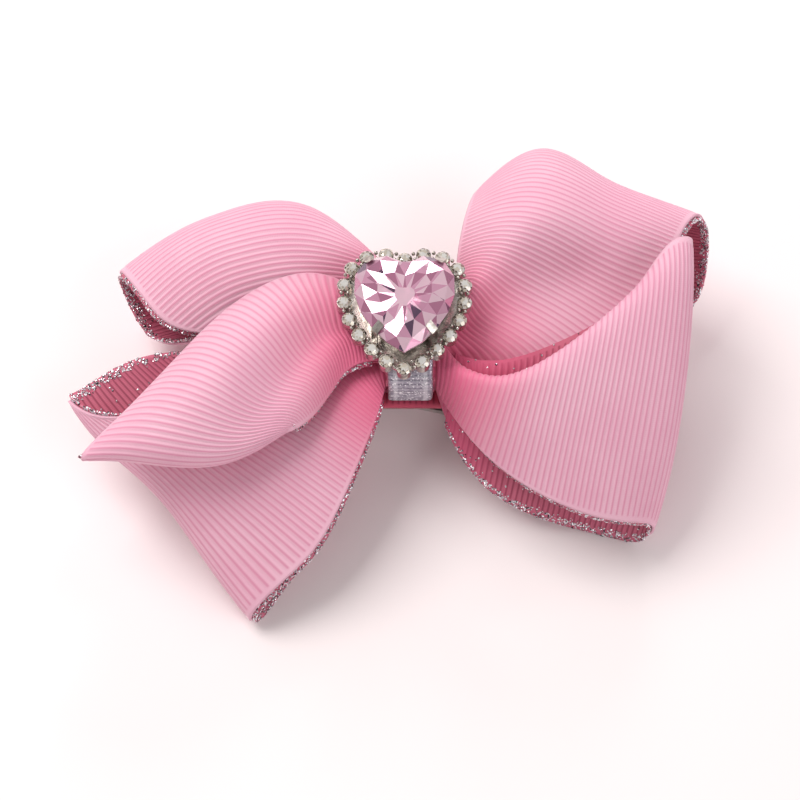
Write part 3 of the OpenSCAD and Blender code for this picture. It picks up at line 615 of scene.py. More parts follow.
def loop_grid(name, start=0.0, end=1.0):
    rows = LOOP_ROWS[name]
    length = lengths(sheet_points(rows, np.linspace(0, 1, 201), np.linspace(0, 1, 33)), 0)[-1, 6:-6].mean()
    count = int(round(length * (end - start) * MM / RIB_PITCH)) * LINES_PER_RIB + 1
    grid, length = walk(rows, count, columns_mm / 38, start, end)
    return grid, np.linspace(start * length, end * length, count), length


loops = {}
for name in LOOP_ROWS:
    grid, run, length = loop_grid(name)
    side = inside_sign(grid)
    necked = with_necks(grid)
    run = np.concatenate([run[0] - [NECK_RUN, NECK_RUN / 2], run, run[-1] + [NECK_RUN / 2, NECK_RUN]])
    piece = shell(name + "_ribbon", necked, -RIBBON_T / 2, RIBBON_T / 2, run[:, None], columns_mm, edges_mm)
    grow(piece, rib_tree, Rib_pitch=RIB_PITCH, Rib_height=0.13 * MM, Selvage_width=1 * MM,
         Material=pink.material)
    loops[name] = {"ribbon": piece, "grid": grid, "side": side, "length": length}
    print(piece.name, "length", round(length, 1), "faces", len(piece.data.polygons))

# %% [markdown]
# ## The linings
# A rose ribbon with a silver glitter edge lies inside each loop. It is a little wider than the pink one,
# so a glitter line shows along most openings. Its grid is the loop's own, moved to the loop's inside and
# stretched past the selvages.

# %% Weave the linings
LINING_REACH = 0.6
REACHES = {"lower_right": (LINING_REACH, 0.02)}    # its upper edge is tucked in, and has no glitter
lining_mid = RIBBON_T / 2 + LINING_GAP + LINING_T / 2


def widened(grid, near, far):
    """The grid with one more column beyond each selvage."""
    first = grid[:, :1] - grid[:, 1:2]
    last = grid[:, -1:] - grid[:, -2:-1]
    first *= near / np.linalg.norm(first, axis=2, keepdims=True)
    last *= far / np.linalg.norm(last, axis=2, keepdims=True)
    return np.concatenate([grid[:, :1] + first, grid, grid[:, -1:] + last], 1)


for name, loop in loops.items():
    start = 0.04
    grid, run, _ = loop_grid(name, start, 1 - start)
    side = loop["side"]
    near, far = REACHES.get(name, (LINING_REACH, LINING_REACH))
    grid = widened(grid + side * lining_mid * normals(grid), near, far)
    across = np.concatenate([[-near], columns_mm, [38 + far]])
    edge = np.minimum(across + near, 38 + far - across)
    dense = edge < 1.35 if far > 0.1 else (edge < 1.35) & (across < 19)
    n, m, _ = grid.shape
    inner = np.tile(np.where(dense, 1.0, 0.02), (n, 1)).reshape(-1)
    outer = np.tile(np.where(dense & (edge < 0.9), 1.0, 0.0), (n, 1)).reshape(-1)
    glitter = np.concatenate([inner, outer] if side > 0 else [outer, inner])
    piece = shell(name + "_lining_ribbon", grid, -LINING_T / 2, LINING_T / 2, run[:, None], across, edge,
                  extra={"glitter": glitter})
    grow(piece, rib_tree, Rib_pitch=RIB_PITCH, Rib_height=0.1 * MM, Selvage_width=1.4 * MM,
         Material=rose.material)
    loop["lining"] = piece
    print(piece.name, "faces", len(piece.data.polygons))

# %% [markdown]
# ## Glitter
# Glitter is thousands of tiny cut flakes stuck down at every angle, in silver, grey and near black. Flat
# paint can't twinkle, so each flake is a small five-sided chip, scattered by a geometry tree where the
# lining says how thick its glitter is.

# %% Scatter the flakes
flake = Finish("silver glitter", Metallic=0.9, Roughness=0.22, Specular_IOR_Level=0.8)
tone = flake.cells(0.22 * MM, "Color")
shade = flake.add("ShaderNodeSeparateColor", {}, {"Color": tone})
bright = flake.blend(shade.ramp(0.1, 0.35), srgb(70, 64, 72), srgb(232, 230, 236))
flake.set(Base_Color=flake.blend(shade.ramp(0.75, 0.95), bright, srgb(255, 250, 252)),
          Roughness=shade * 0.25 + 0.12)

g = new_tree("Scatter flakes", {"Density": "Float", "Flake size": "Float", "Seed": "Int",
                                "Material": "Material"})
points = g.add("GeometryNodeDistributePointsOnFaces", {},
               {"Mesh": g.given["Geometry"], "Density": g.named("glitter") * g.given["Density"],
                "Seed": g.given["Seed"]})
turn = Wire(g, points.socket.node.outputs["Rotation"])
tilt = g.add("FunctionNodeRandomValue", {"data_type": "FLOAT_VECTOR"},
             {"Min": (-0.7, -0.7, 0), "Max": (0.7, 0.7, 6.28), "Seed": g.given["Seed"]})
turned = g.add("FunctionNodeRotateRotation", {"rotation_space": "LOCAL"},
               {"Rotation": turn, "Rotate By": tilt})
size = g.add("FunctionNodeRandomValue", {"data_type": "FLOAT"},
             {"Min": 0.6, "Max": 1.25, "Seed": g.given["Seed"]}, output="Value")
chip = g.add("GeometryNodeMeshCone", {"fill_type": "NGON"},
             {"Vertices": 5, "Radius Top": g.given["Flake size"] * 0.35,
              "Radius Bottom": g.given["Flake size"], "Depth": g.given["Flake size"] * 0.4})
scattered = g.add("GeometryNodeInstanceOnPoints", {},
                  {"Points": points, "Instance": chip, "Rotation": turned, "Scale": size})
flake_tree = finish_tree(g, scattered, g.given["Material"])

for seed, (name, loop) in enumerate(loops.items()):
    piece = bpy.data.objects.new(name + "_glitter", loop["lining"].data.copy())
    bpy.context.scene.collection.objects.link(piece)
    grow(piece, flake_tree, Density=14 / MM ** 2, Flake_size=0.17 * MM, Seed=seed + 3,
         Material=flake.material)
    loop["glitter"] = piece
    print(piece.name, "faces", len(piece.data.polygons))

# %% [markdown]
# ## Pleats in the knot
# Inside the wrap the ribbons of all the loops lie on one another. Only their edges show, beside the wrap,
# so a stack of gently wavy layers stands for them, cut to the rounded outline of the knot.

# %% Stack the pleats


def knot_half(z, half=KNOT_HALF_H, low=KNOT_BACK, high=KNOT_FRONT, r=KNOT_ROUND):
    """Half the knot's height at level z."""
    drop = max(low + r - z, z - (high - r), 0)
    return half - r + math.sqrt(max(r * r - drop * drop, 0))


layer_levels = np.linspace(KNOT_BACK + 0.4, KNOT_FRONT - 0.4, 10)
stack_points, stack_faces, stack_layers = [], [], {"along": [], "across": [], "edge": []}
for k, level in enumerate(layer_levels):
    half = knot_half(level) - 0.1
    y = np.linspace(-half, half, 25)
    x = np.linspace(-3.2, 3.2, 9)
    grid = np.empty((9, 25, 3))
    grid[..., 0] = x[:, None] + 0.12 * np.sin(y * 1.3 + k * 2)
    grid[..., 1] = y
    grid[..., 2] = level + 0.12 * np.sin(y * 2.1 + k * 1.7) + 0.05 * np.sin(x[:, None] + k)
    away = normals(grid)
    base = sum(len(p) for p in stack_points)
    stack_points.append(placed(np.concatenate([(grid + 0.19 * away).reshape(-1, 3),
                                               (grid - 0.19 * away).reshape(-1, 3)])))
    stack_faces.append(shell_faces(9, 25) + base)
    stack_layers["along"].append(np.tile(np.repeat(x, 25), 2) * MM)
    stack_layers["across"].append(np.tile(np.tile(y, 9), 2) * MM)
    stack_layers["edge"].append(np.full(9 * 25 * 2, 5 * MM))
pleats = new_piece("gathered_pleats", np.concatenate(stack_points), np.concatenate(stack_faces),
                   {key: np.concatenate(v) for key, v in stack_layers.items()}, materials=[rose.material])
print(pleats.name, "layers", len(layer_levels))

# %% [markdown]
# ## The centre wrap
# A silver ribbon 10 mm wide is folded to just under 6 mm, with both edges turned in, and glued round the
# knot. It is one strip on a closed path: the path goes round the knot's rounded outline, and the strip's
# section folds under itself at both sides.

# %% Fold the wrap
WRAP_AIR, WRAP_T = 0.5, 0.18
WRAP_RIBS, LINES_PER_WRAP_RIB = 58, 5
WRAP_RIDGE = 0.62


def round_path(half, low, high, r, count):
    """Points round a rounded rectangle in y and z, evenly spaced, and its length."""
    corners = [(half - r, high - r, 0), (-half + r, high - r, 90), (-half + r, low + r, 180),
               (half - r, low + r, 270)]
    line = [(cy + r * math.cos(math.radians(a0 + a)), cz + r * math.sin(math.radians(a0 + a)))
            for cy, cz, a0 in corners for a in np.linspace(0, 90, 40)]
    line = np.array(line + line[:1])
    run = distances(line)
    s = np.linspace(0, run[-1], count, endpoint=False)
    return np.stack([np.interp(s, run, line[:, 0]), np.interp(s, run, line[:, 1])], 1), run[-1]


wrap_half, wrap_low_z, wrap_high_z = KNOT_HALF_H + WRAP_AIR, KNOT_BACK - WRAP_AIR, KNOT_FRONT + WRAP_AIR
path, path_length = round_path(wrap_half, wrap_low_z, wrap_high_z, KNOT_ROUND + WRAP_AIR,
                               WRAP_RIBS * LINES_PER_WRAP_RIB)
step = np.roll(path, -1, 0) - np.roll(path, 1, 0)
outward = np.stack([step[:, 1], -step[:, 0]], 1) / np.linalg.norm(step, axis=1)[:, None]
hem = 2.1
half_w = WRAP_W / 2
section = ([(-half_w + hem, 0.1), (-half_w + 1, 0.1), (-half_w + 0.15, 0.12), (-half_w, 0.25),
            (-half_w + 0.12, 0.37), (-half_w + 0.45, 0.41)]
           + [(x, 0.41) for x in np.linspace(-half_w + 0.8, half_w - 0.8, 15)]
           + [(half_w - 0.45, 0.41), (half_w - 0.12, 0.37), (half_w, 0.25), (half_w - 0.15, 0.12),
              (half_w - 1, 0.1), (half_w - hem, 0.1)])
section = np.array(section)
grid = np.empty((len(path), len(section), 3))
grid[..., 0] = section[:, 0]
grid[..., 1] = path[:, :1] + outward[:, :1] * section[:, 1]
grid[..., 2] = path[:, 1:] + outward[:, 1:] * section[:, 1]
phase = np.linspace(0, 2 * math.pi, len(path), endpoint=False)[:, None]
grid[..., 0] += 0.05 * np.sin(5 * phase) * (section[:, 0] / half_w) ** 2
section_run = distances(section)
from_fold = np.minimum(abs(section[:, 0] + half_w), abs(section[:, 0] - half_w))
facing = np.zeros_like(grid)
tangent = np.gradient(section, axis=0)
tangent /= np.linalg.norm(tangent, axis=1)[:, None]
facing[..., 0] = -tangent[:, 1]
facing[..., 1] = outward[:, :1] * tangent[:, 0]
facing[..., 2] = outward[:, 1:] * tangent[:, 0]
wrap_run = np.linspace(0, path_length, len(path), endpoint=False)
silver = Finish("silver lurex", Sheen_Weight=0.1, Specular_IOR_Level=0.6)
along, across, edge = (silver.attribute(key) for key in ("along", "across", "edge"))
ridge = abs((along / (WRAP_RIDGE * MM)).part() - 0.5) * 2
glint = silver.cells(0.16 * MM, "Color")
glint = silver.add("ShaderNodeSeparateColor", {}, {"Color": glint})
streak = silver.noise(0.5 * MM, 3)
band = edge.ramp(0.5 * MM, 0.75 * MM) * (1 - edge.ramp(1.05 * MM, 1.3 * MM))
body = silver.blend(streak.ramp(0.3, 0.7), srgb(150, 144, 160), srgb(196, 190, 202))
# Painted shade: the grooves between the ridges turn dark grey.
body = silver.blend((1 - ridge.ramp(0.0, 0.55)) * 0.6, body, srgb(104, 96, 112))
body = silver.blend(band * 0.55, body, srgb(232, 230, 236))
silver.set(Base_Color=silver.blend(glint.ramp(0.8, 0.95), body, srgb(250, 248, 252)),
           Metallic=glint.ramp(0.3, 0.6) * 0.6 + 0.2, Roughness=streak * 0.3 + 0.25)
silver.relief(glint * 0.6 + streak * 0.5, 0.05 * MM, 0.6)
wrap = shell("centre_wrap_ribbon", grid, -WRAP_T / 2, WRAP_T / 2, wrap_run[:, None], section_run, from_fold,
             closed=True, facing=facing)
grow(wrap, rib_tree, Rib_pitch=path_length / WRAP_RIBS * MM, Rib_height=0.09 * MM, Selvage_width=0.3 * MM,
     Material=silver.material)
print(wrap.name, "path", round(path_length, 1), "faces", len(wrap.data.polygons))

# %% [markdown]
# ## The heart
# Crystal, foil, setting and stones all follow one outline, given as half a heart from the notch to the
# point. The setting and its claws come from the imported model, and only need a finish.

# %% Heart outline
HALF_HEART = np.array([[0, 6.1], [1.2, 7], [3.2, 7.3], [5.1, 6.7], [6.3, 5.3], [6.85, 3.3],
                       [6.75, 1.4], [6.1, -0.8], [5.1, -2.6], [3.7, -4.4], [2.1, -6], [0, -7.4]])
GEM_DRAWN_W, GEM_W = 13.7, 13.5
gem_low, gem_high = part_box("heart_crystal")
gem_middle = np.array([(gem_low[0] + gem_high[0]) / 2, (gem_low[1] + gem_high[1]) / 2])


def smooth_half():
    p, out = HALF_HEART * GEM_W / GEM_DRAWN_W, []
    for i in range(len(p) - 1):
        a, b, c, d = p[max(i - 1, 0)], p[i], p[i + 1], p[min(i + 2, len(p) - 1)]
        for t in np.arange(8) / 8:
            out.append(0.5 * (2 * b + (c - a) * t + (2 * a - 5 * b + 4 * c - d) * t ** 2
                              + (3 * b - a - 3 * c + d) * t ** 3))
    return np.array(out + [p[-1]])


def heart(grown):
    """The closed outline moved outwards by grown millimetres."""
    half = smooth_half()
    run = np.roll(half, -1, 0) - np.roll(half, 1, 0)
    run[0], run[-1] = half[1] - half[0], half[-1] - half[-2]
    side = np.stack([-run[:, 1], run[:, 0]], 1) / np.linalg.norm(run, axis=1)[:, None]
    right = half + grown * side
    right = right[right[:, 0] > 0.04]
    return np.concatenate([right, right[::-1] * [-1, 1]])


def spaced(line, count, phase=0.0):
    closed = np.concatenate([line, line[:1]])
    run = distances(closed)
    s = run[-1] * (np.arange(count) + phase) / count
    return np.stack([np.interp(s, run, closed[:, 0]), np.interp(s, run, closed[:, 1])], 1)


outline = heart(0)
outline_middle = (outline.max(0) + outline.min(0)) / 2
gem_at = gem_middle - outline_middle * MM
print("gem at", gem_at.round(5))

# %% [markdown]
# ## Cut glass
# A flat-backed or foiled crystal is clear glass with a mirror behind it: light goes in through the crown,
# bounces off the foiled facets below and comes out by another facet. So the stone is one closed faceted
# solid, with glass on its crown and foil on its pavilion.

# %% Glass and foil finishes


def glass_finish(name, reflection_tones, clear, reflection_patch_size):
    """Foiled glass, whose facets each show another of four painted reflection tones, from pale to dark."""
    m = Finish(name, Transmission_Weight=clear, IOR=1.52, Specular_IOR_Level=0.7, Coat_Weight=1.0,
               Coat_Roughness=0.02)
    haze = m.noise(3 * MM, 2)
    # Painted reflection: patches shift which tone each facet shows.
    reflection_patch = m.add("ShaderNodeSeparateColor", {}, {"Color": m.cells(reflection_patch_size * MM, "Color")})
    tone = (m.attribute("tone") + reflection_patch * 0.45).part()
    colour = m.blend(tone.ramp(0.36, 0.4), reflection_tones[0], reflection_tones[1])
    colour = m.blend(tone.ramp(0.66, 0.7), colour, reflection_tones[2])
    colour = m.blend(tone.ramp(0.88, 0.9), colour, reflection_tones[3])
    m.set(Base_Color=colour, Roughness=haze * 0.03, Metallic=tone * 0.35 + 0.1)
    return m


def foil_finish(name, light, deep, metal=1.0, reflection_patch_size=2.2):
    m = Finish(name, Metallic=metal)
    # Painted reflection: the foil turns from its light to its deep colour in patches.
    reflection_patch = m.noise(reflection_patch_size * MM, 1)
    m.set(Base_Color=m.blend(reflection_patch.ramp(0.4, 0.6), light, deep), Roughness=reflection_patch * 0.1 + 0.02)
    return m


# Each crystal's four tones are painted reflections, from a painted highlight down to a painted dark
# reflection.
pink_glass = glass_finish("pink crystal", [srgb(255, 216, 232), srgb(240, 176, 206), srgb(204, 132, 166),
                                           srgb(104, 74, 104)], 0.4, 4)
clear_glass = glass_finish("clear crystal", [srgb(255, 253, 248), srgb(240, 230, 212), srgb(146, 130, 116),
                                             srgb(62, 50, 46)], 0.4, 0.6)
pink_foil = foil_finish("pink foil", srgb(255, 216, 232), srgb(190, 122, 158), 0.8)
clear_foil = foil_finish("silver foil", srgb(255, 253, 248), srgb(150, 136, 124), 0.7, 0.45)

# %% Cut the heart crystal
FACETS = 16
gem_bottom, gem_top = gem_low[2], gem_high[2]
gem_depth = (gem_top - gem_bottom) / MM
levels = [(0.2, 1.0, 0.5), (0.54, 0.94, 0.0), (0.84, 0.8, 0.5), (1.0, 0.6, 0.0), (1.0, 0.53, 0.0),
          (0.62, 0.26, 0.5), (0.28, 0.08, 0.0)]
heart_line = heart(0)
gem_points, gem_faces, foil_faces = [], [], []
for ratio, height, phase in levels:
    ring = spaced(heart_line, FACETS, phase) * ratio
    for i, (x, y) in enumerate(ring):
        uneven = 0.02 * (-1) ** i if 0.3 < ratio < 0.9 and height > 0.6 else 0
        gem_points.append((gem_at[0] + x * MM, gem_at[1] + y * MM,
                           gem_bottom + (height + uneven) * gem_depth * MM))
gem_points.append((gem_at[0], gem_at[1], gem_bottom))
for k in range(len(levels) - 1):
    for i in range(FACETS):
        j, a, b = (i + 1) % FACETS, k * FACETS, (k + 1) * FACETS
        if levels[k][2] == levels[k + 1][2]:
            quad = [(a + i, b + i, b + j, a + j)]
        elif levels[k][2] < levels[k + 1][2]:
            quad = [(a + i, b + i, a + j), (a + j, b + i, b + j)]
        else:
            quad = [(a + i, b + i, b + j), (a + i, b + j, a + j)]
        foil_faces += [k >= 4] * len(quad)
        gem_faces += [f[::-1] for f in quad]
gem_faces.append(tuple(range(FACETS)))
foil_faces.append(False)
last = (len(levels) - 1) * FACETS
for i in range(FACETS):
    gem_faces.append((last + (i + 1) % FACETS, last + i, last + FACETS))
    foil_faces.append(True)


def add_reflection_tones(piece):
    """Gives each facet its own number from 0 to 1, in steps of the golden ratio, which picks its painted
    reflection tone.
    """
    layer = piece.data.attributes.new("tone", "FLOAT", "FACE")
    layer.data.foreach_set("value", [(0.1 + 0.618 * i) % 1 for i in range(len(piece.data.polygons))])


def point_outwards(piece):
    """Turns every face of a closed piece outwards."""
    work = bmesh.new()
    work.from_mesh(piece.data)
    bmesh.ops.recalc_face_normals(work, faces=work.faces)
    if work.calc_volume(signed=True) < 0:
        bmesh.ops.reverse_faces(work, faces=work.faces)
    work.to_mesh(piece.data)
    work.free()


crystal = new_piece("heart_crystal_cut", gem_points, gem_faces, smooth=False,
                    materials=[pink_glass.material, pink_foil.material])
crystal.data.polygons.foreach_set("material_index", [int(f) for f in foil_faces])
point_outwards(crystal)
add_reflection_tones(crystal)
print(crystal.name, "facets", len(crystal.data.polygons))

# %% [markdown]
# ## The stones round the heart
# Twenty small round stones sit in cups along the outline. One stone is cut, and a geometry tree puts a
# copy on each point, each turned and tipped a little, as hand-set stones are.

# %% Cut one stone and set twenty
STONE_COUNT, STONE_R, STONE_SIT = 20, 0.99, 0.08
CLAW_GAP, CLAW_T, CUP_WALL = 0.04, 0.2, 0.08
stone_line = 4 * CLAW_GAP + CLAW_T + 0.925 + CUP_WALL
stone_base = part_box("surround_stones")[0][2] + STONE_SIT * MM


def cut_stone():
    rings = [(0.5, 1.07, 8, 0.5), (0.78, 0.88, 8, 0.0), (1.0, 0.66, 16, 0.5), (1.0, 0.58, 16, 0.5),
             (0.12, 0.02, 8, 0.0)]
    pts, ids = [], []
    for ratio, z, count, phase in rings:
        ids.append(list(range(len(pts), len(pts) + count)))
        pts += [(STONE_R * ratio * math.cos(2 * math.pi * (i + phase) / count),
                 STONE_R * ratio * math.sin(2 * math.pi * (i + phase) / count), z) for i in range(count)]
    table, mid, upper, lower, tip = ids
    faces, foil = [tuple(table)], [0]
    for i in range(8):
        j = (i + 1) % 8
        faces += [(table[i], mid[i], mid[j]), (table[i - 1], mid[i], table[i])]
        faces += [(mid[i], upper[2 * i - 1], upper[2 * i]),
                  (mid[i], upper[2 * i], upper[2 * i + 1], mid[j])]
        faces += [(upper[2 * i - 1], lower[2 * i - 1], lower[2 * i], upper[2 * i]),
                  (upper[2 * i], lower[2 * i], lower[2 * i + 1], upper[2 * i + 1])]
        foil += [0] * 6
        faces += [(lower[2 * i - 1], lower[2 * i], tip[i]),
                  (lower[2 * i], lower[2 * i + 1], tip[j], tip[i])]
        foil += [1, 1]
    faces.append(tuple(tip[::-1]))
    foil.append(1)
    stone = new_piece("stone", np.array(pts) * MM, faces, smooth=False)
    layer = stone.data.attributes.new("foil", "FLOAT", "FACE")
    layer.data.foreach_set("value", [float(f) for f in foil])
    point_outwards(stone)
    add_reflection_tones(stone)
    return stone


stone = cut_stone()
g = new_tree("Set stones", {"Stone": "Object", "Tip": "Float", "Seed": "Int", "Glass": "Material",
                            "Foil": "Material"})
shape = g.add("GeometryNodeObjectInfo", {}, {"Object": g.given["Stone"]}, output="Geometry")
tip = g.given["Tip"]
spread = g.add("ShaderNodeCombineXYZ", {}, {"X": tip, "Y": tip, "Z": 0.4})
lean = g.add("FunctionNodeRandomValue", {"data_type": "FLOAT_VECTOR"},
             {"Min": (-1, -1, -1), "Max": (1, 1, 1), "Seed": g.given["Seed"]})
lean = g.add("ShaderNodeVectorMath", {"operation": "MULTIPLY"}, {0: lean, 1: spread})
stones = g.add("GeometryNodeInstanceOnPoints", {}, {"Points": g.given["Geometry"], "Instance": shape,
                                                   "Rotation": lean})
real = g.add("GeometryNodeRealizeInstances", {}, {"Geometry": stones})
clear = g.add("GeometryNodeSetMaterial", {}, {"Geometry": real, "Material": g.given["Glass"]})
foiled = g.add("GeometryNodeSetMaterial", {}, {"Geometry": clear, "Material": g.given["Foil"],
                                              "Selection": g.named("foil").over(0.5)})
target = g.tree.nodes.new("NodeGroupOutput")
g.tree.links.new(foiled.socket, target.inputs["Geometry"])

stone_spots = spaced(heart(stone_line), STONE_COUNT)
stone_places = [(gem_at[0] + x * MM, gem_at[1] + y * MM, stone_base) for x, y in stone_spots]
surround = new_piece("surround_stones_cut", stone_places, [])
grow(surround, g.tree, Stone=stone, Tip=0.07, Seed=5, Glass=clear_glass.material, Foil=clear_foil.material)
bpy.data.objects.remove(stone)
print(surround.name, "stones", STONE_COUNT, "faces", len(surround.data.polygons))

# %% [markdown]
# ## Prongs and setting
# Each cup holds its stone with small round-headed prongs between it and the next. They repeat along the
# outline, so a tree sets them too. The plated metal is bright, and darker where it can't be polished.

# %% Plated metal and prongs
plate = Finish("plated setting", Metallic=1.0, Specular_IOR_Level=0.6)
dull = plate.noise(0.6 * MM, 3)
scratch = plate.noise(0.12 * MM, 2)
plate.set(Base_Color=plate.blend(dull.ramp(0.35, 0.7), srgb(214, 208, 200), srgb(158, 150, 144)),
          Roughness=dull * 0.3 + scratch * 0.1 + 0.08)
plate.relief(scratch * 0.5 + dull, 0.03 * MM, 0.4)


def finish_packed(node, finish):
    """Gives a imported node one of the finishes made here."""
    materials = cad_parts[node].data.materials
    materials.clear()
    materials.append(finish.material)


for node in ("surround_setting", "claw_setting"):
    finish_packed(node, plate)

g = new_tree("Set prongs", {"Prong size": "Float", "Material": "Material"})
head = g.add("GeometryNodeMeshIcoSphere", {}, {"Radius": g.given["Prong size"], "Subdivisions": 2})
prongs_set = g.add("GeometryNodeInstanceOnPoints", {}, {"Points": g.given["Geometry"], "Instance": head,
                                                       "Scale": (1, 1, 1.3)})
prong_tree = finish_tree(g, prongs_set, g.given["Material"])
seats = np.array(stone_places)
prong_spots = []
for i in range(STONE_COUNT):
    a, b = seats[i], seats[(i + 1) % STONE_COUNT]
    middle, run = (a + b) / 2, (b - a) / np.linalg.norm(b - a)
    side = np.array([-run[1], run[0], 0])
    for s in (-0.45, 0.45):
        prong_spots.append(middle + side * s * MM + [0, 0, 0.72 * MM])
prongs = new_piece("surround_prongs", prong_spots, [])
grow(prongs, prong_tree, Prong_size=0.27 * MM, Material=plate.material)
prongs.data.polygons.foreach_set("use_smooth", [True] * len(prongs.data.polygons))
print(prongs.name, len(prong_spots))

# %% [markdown]
# ## The clip
# The upper arm, the toothed jaw and the pin are bent and stamped steel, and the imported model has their
# true shape, so they get a nickel finish. Fine brushing runs along the clip. The covering ribbon and the
# spring are made here.

# %% Nickel, glue and thread
nickel = Finish("nickel plate", Metallic=1.0, Specular_IOR_Level=0.5)
stretch = nickel.add("ShaderNodeMapping", {}, {"Vector": nickel.place(), "Scale": (0.08, 1, 1)})
brushed = nickel.noise(0.12 * MM, 3, where=stretch)
smudge = nickel.noise(4 * MM, 3)
nickel.set(Base_Color=nickel.blend(smudge.ramp(0.3, 0.7), srgb(206, 203, 198), srgb(184, 180, 176)),
           Roughness=brushed * 0.25 + smudge * 0.15 + 0.12)
nickel.relief(brushed, 0.02 * MM, 0.5)
wire_steel = Finish("spring wire", Metallic=1.0)
worn = wire_steel.noise(0.5 * MM, 3)
wire_steel.set(Base_Color=wire_steel.blend(worn, srgb(176, 174, 170), srgb(140, 138, 136)),
               Roughness=worn * 0.3 + 0.15)
glue = Finish("clear glue", Transmission_Weight=0.4, IOR=1.45)
milky = glue.noise(1 * MM, 3)
glue.set(Base_Color=glue.blend(milky, srgb(236, 230, 222), srgb(214, 206, 196)),
         Roughness=milky * 0.3 + 0.3)
thread = Finish("binding thread", Sheen_Weight=0.2)
twist = thread.noise(0.15 * MM, 3)
thread.set(Base_Color=thread.blend(twist, srgb(244, 240, 238), srgb(214, 204, 206)),
           Roughness=twist * 0.2 + 0.6)
thread.relief(twist, 0.04 * MM, 0.6)
for node, finish in (("clip_upper_arm", nickel), ("clip_lower_jaw", nickel), ("hinge_pin", nickel),
                     ("glue_pad", glue), ("binding_thread", thread)):
    finish_packed(node, finish)
print("finished the packed metal, glue and thread")

# %% [markdown]
# ## The clip's cover
# A strip of ribbed ribbon is glued along the top of the clip and folded down over both edges, so that no
# steel shows from the front. Its section is a shallow bridge, and the strip is a ribbon as the loops are.

# %% Cover the clip
cover_low, cover_high = (np.array(c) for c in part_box("clip_cover"))
cover_middle = (cover_low + cover_high) / 2
cover_half_w = (cover_high[1] - cover_low[1]) / 2 / MM
cover_half_l = (cover_high[0] - cover_low[0]) / 2 / MM
cover_h = (cover_high[2] - cover_low[2]) / MM
bend = 0.35
profile = [(-cover_half_w + 0.14, -cover_h + 0.05), (-cover_half_w + 0.14, -0.6),
           (-cover_half_w + 0.2, -0.35), (-cover_half_w + bend, -0.18)]
profile += [(y, -0.14) for y in np.linspace(-cover_half_w + 0.7, cover_half_w - 0.7, 25)]
profile += [(-y, z) for y, z in profile[3::-1]]
profile = np.array(profile)
ribs_long = int(round(2 * cover_half_l / (RIB_PITCH / MM)))
share = np.linspace(-1, 1, ribs_long * LINES_PER_RIB + 1)
grid = np.empty((len(share), len(profile), 3))
round_end = np.sqrt(np.maximum(cover_half_w ** 2 - (0.97 * profile[:, 0]) ** 2, 0.0))
reach = cover_half_l - cover_half_w + round_end
grid[..., 0] = share[:, None] * reach[None, :]
grid[..., 1] = profile[:, 0]
grid[..., 2] = profile[:, 1]
shift = (np.array([cover_middle[0], cover_middle[1], cover_high[2]]) - knot) / MM
profile_run = distances(profile)
# Painted shade: the cover is pink ribbon, and these deep crimson colours are that pink as it looks in the
# shade under the knot.
cover_pink_in_painted_shade = ribbon_finish("cover ribbon", srgb(214, 84, 112), srgb(200, 70, 100), srgb(150, 40, 66), 0.15)
cover = shell("clip_cover_ribbon", grid + shift, -0.12, 0.12, grid[..., 0] + cover_half_l, profile_run,
              np.minimum(profile_run, profile_run[-1] - profile_run))
grow(cover, rib_tree, Rib_pitch=RIB_PITCH, Rib_height=0.08 * MM, Selvage_width=0.8 * MM,
     Material=cover_pink_in_painted_shade.material)
print(cover.name, "width of ribbon", round(profile_run[-1], 1), "length", round(2 * cover_half_l, 1))

# %% [markdown]
# ## The spring
# A torsion spring is one wire: a leg under the arm, a few touching coils round the pin and a leg on the
# lever. A poly curve with a round bevel is the shortest way to one smooth wire.

# %% Wind the spring
pin_low, pin_high = (np.array(c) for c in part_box("hinge_pin"))
hinge = (pin_low + pin_high) / 2
spring_low, spring_high = (np.array(c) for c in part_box("clip_spring"))
WIRE_R, COILS, LEG = 0.3 * MM, 5, 4.6 * MM
coil_r = (spring_high[2] - spring_low[2]) / 2 - WIRE_R
half_span = (COILS - 1) / 2 * 0.62 * MM
turns = COILS - 0.5
points = [(LEG, -half_span, coil_r)]
for a in np.linspace(0, turns * 2 * math.pi, int(turns * 32)):
    points.append((-coil_r * math.sin(a), -half_span + 2 * half_span * a / (turns * 2 * math.pi),
                   coil_r * math.cos(a)))
points.append((LEG, half_span, -coil_r))
curve = bpy.data.curves.new("spring_path", "CURVE")
curve.dimensions = "3D"
curve.bevel_depth = WIRE_R
curve.bevel_resolution = 3
curve.use_fill_caps = True
spline = curve.splines.new("POLY")
spline.points.add(len(points) - 1)
for spot, point in zip(spline.points, points):
    spot.co = tuple(hinge + point) + (1,)
wound = bpy.data.objects.new("spring_path", curve)
bpy.context.scene.collection.objects.link(wound)
spring = bpy.data.objects.new("clip_spring_wire", bpy.data.meshes.new_from_object(
    wound.evaluated_get(bpy.context.evaluated_depsgraph_get())))
bpy.context.scene.collection.objects.link(spring)
bpy.data.objects.remove(wound)
spring.data.materials.clear()
spring.data.materials.append(wire_steel.material)
spring.data.polygons.foreach_set("use_smooth", [True] * len(spring.data.polygons))
point_outwards(spring)
print(spring.name, "faces", len(spring.data.polygons))
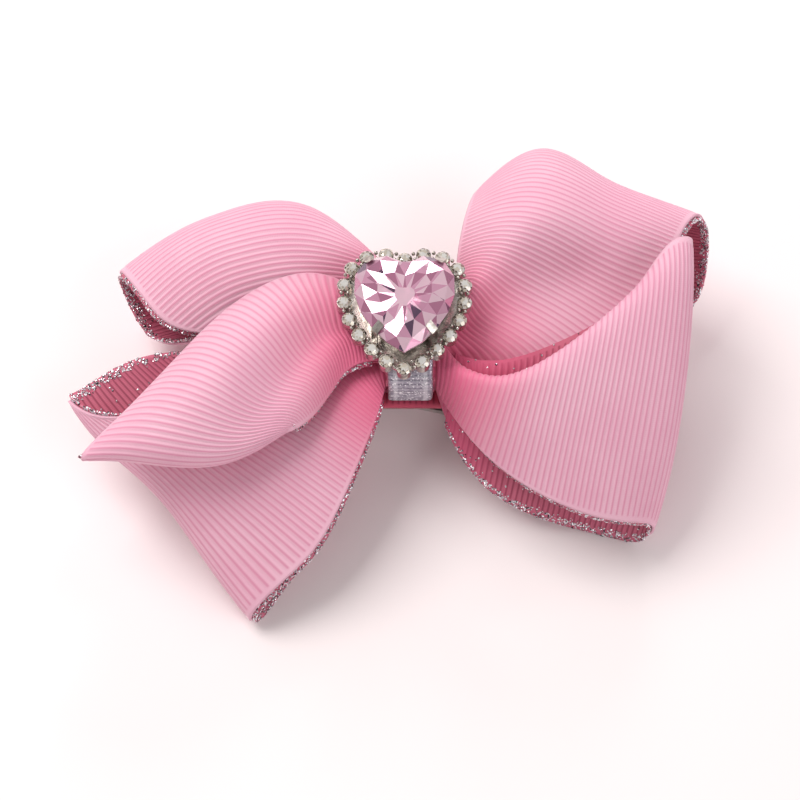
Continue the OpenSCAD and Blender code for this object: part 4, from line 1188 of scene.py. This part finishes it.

# %% [markdown]
# ## Hand the pieces to the bodies
# Everything here rides on the bow but for the spring, which is left in place on no body. Only the toothed
# jaw moves, and it is a imported node that already rides on its own body.
# A real loop is a full rectangle of ribbon, pleated at the knot. These loops narrow there without pleats, so
# they hold less cloth than the rectangle does. The loops' shares were chosen to match the drawn areas, and
# aren't how the ribbon is cut. The area test proves nothing about these ten sheets. The pleats' flat size was
# worked back from the drawn layers in the same way. The wrap's 36 mm is a guess: its outer layer is drawn
# 34.4 mm round, with no overlap.

# %% Ride and replace
for name, loop in loops.items():
    ribbon, lining, glitter = loop["ribbon"], loop["lining"], loop["glitter"]
    for piece in (ribbon, lining, glitter):
        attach(piece, "bow")
    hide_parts(name + "_loop")
    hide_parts(name + "_lining")

for piece, node, slot in ((pleats, "gathered_core", "pink_ribbon"), (wrap, "centre_wrap", "wrap_ribbon"),
                          (crystal, "heart_crystal", "pink_glass"),
                          (surround, "surround_stones", "stone_glass"), (prongs, None, "setting_metal"),
                          (cover, "clip_cover", "cover_ribbon"), (spring, "clip_spring", "spring_steel")):
    if piece is spring:
        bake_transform(spring)
    else:
        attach(piece, "bow")
    if node:
        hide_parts(node)

# %% [markdown]
# ## Table and light
# A plain pale table and three soft lights: a large key from the upper left, a weaker fill from the right
# and a narrow strip behind, which gives the crystal something bright to bounce.

# %% Table
floor_finish = Finish("pale table", Roughness=0.6)
grain = floor_finish.noise(0.05, 2)
floor_finish.set(Base_Color=floor_finish.blend(grain, srgb(250, 240, 240), srgb(247, 236, 237)))
TABLE_HALF, TABLE_DROP = 3, 0.3 * MM
table_corners = [(x * TABLE_HALF, y * TABLE_HALF, -TABLE_DROP)
                 for x, y in ((-1, -1), (1, -1), (1, 1), (-1, 1))]
floor = new_piece("table", table_corners, [(0, 1, 2, 3)], materials=[floor_finish.material])

# %% Lights


def soft_light(name, place, size, power, colour=(1, 1, 1)):
    light = bpy.data.lights.new(name, "AREA")
    light.shape, light.size, light.energy, light.color = "SQUARE", size, power, colour
    lamp = bpy.data.objects.new(name, light)
    lamp.location = place
    lamp.rotation_euler = (Vector(placed([0, 0, 12])) - Vector(place)).to_track_quat("-Z", "Y").to_euler()
    bpy.context.scene.collection.objects.link(lamp)


soft_light("key", (-0.35, 0.25, 0.6), 0.45, 4.2, (1, 0.98, 0.96))
soft_light("fill", (0.5, -0.3, 0.45), 0.5, 1.4)
soft_light("strip", (0.1, 0.6, 0.35), 0.15, 0.7)
world = bpy.data.worlds.new("studio")
world.use_nodes = True
world.node_tree.nodes["Background"].inputs["Color"].default_value = (1, 0.97, 0.97, 1)
world.node_tree.nodes["Background"].inputs["Strength"].default_value = 0.45
bpy.context.scene.world = world
bpy.context.scene.view_settings.view_transform = "Standard"
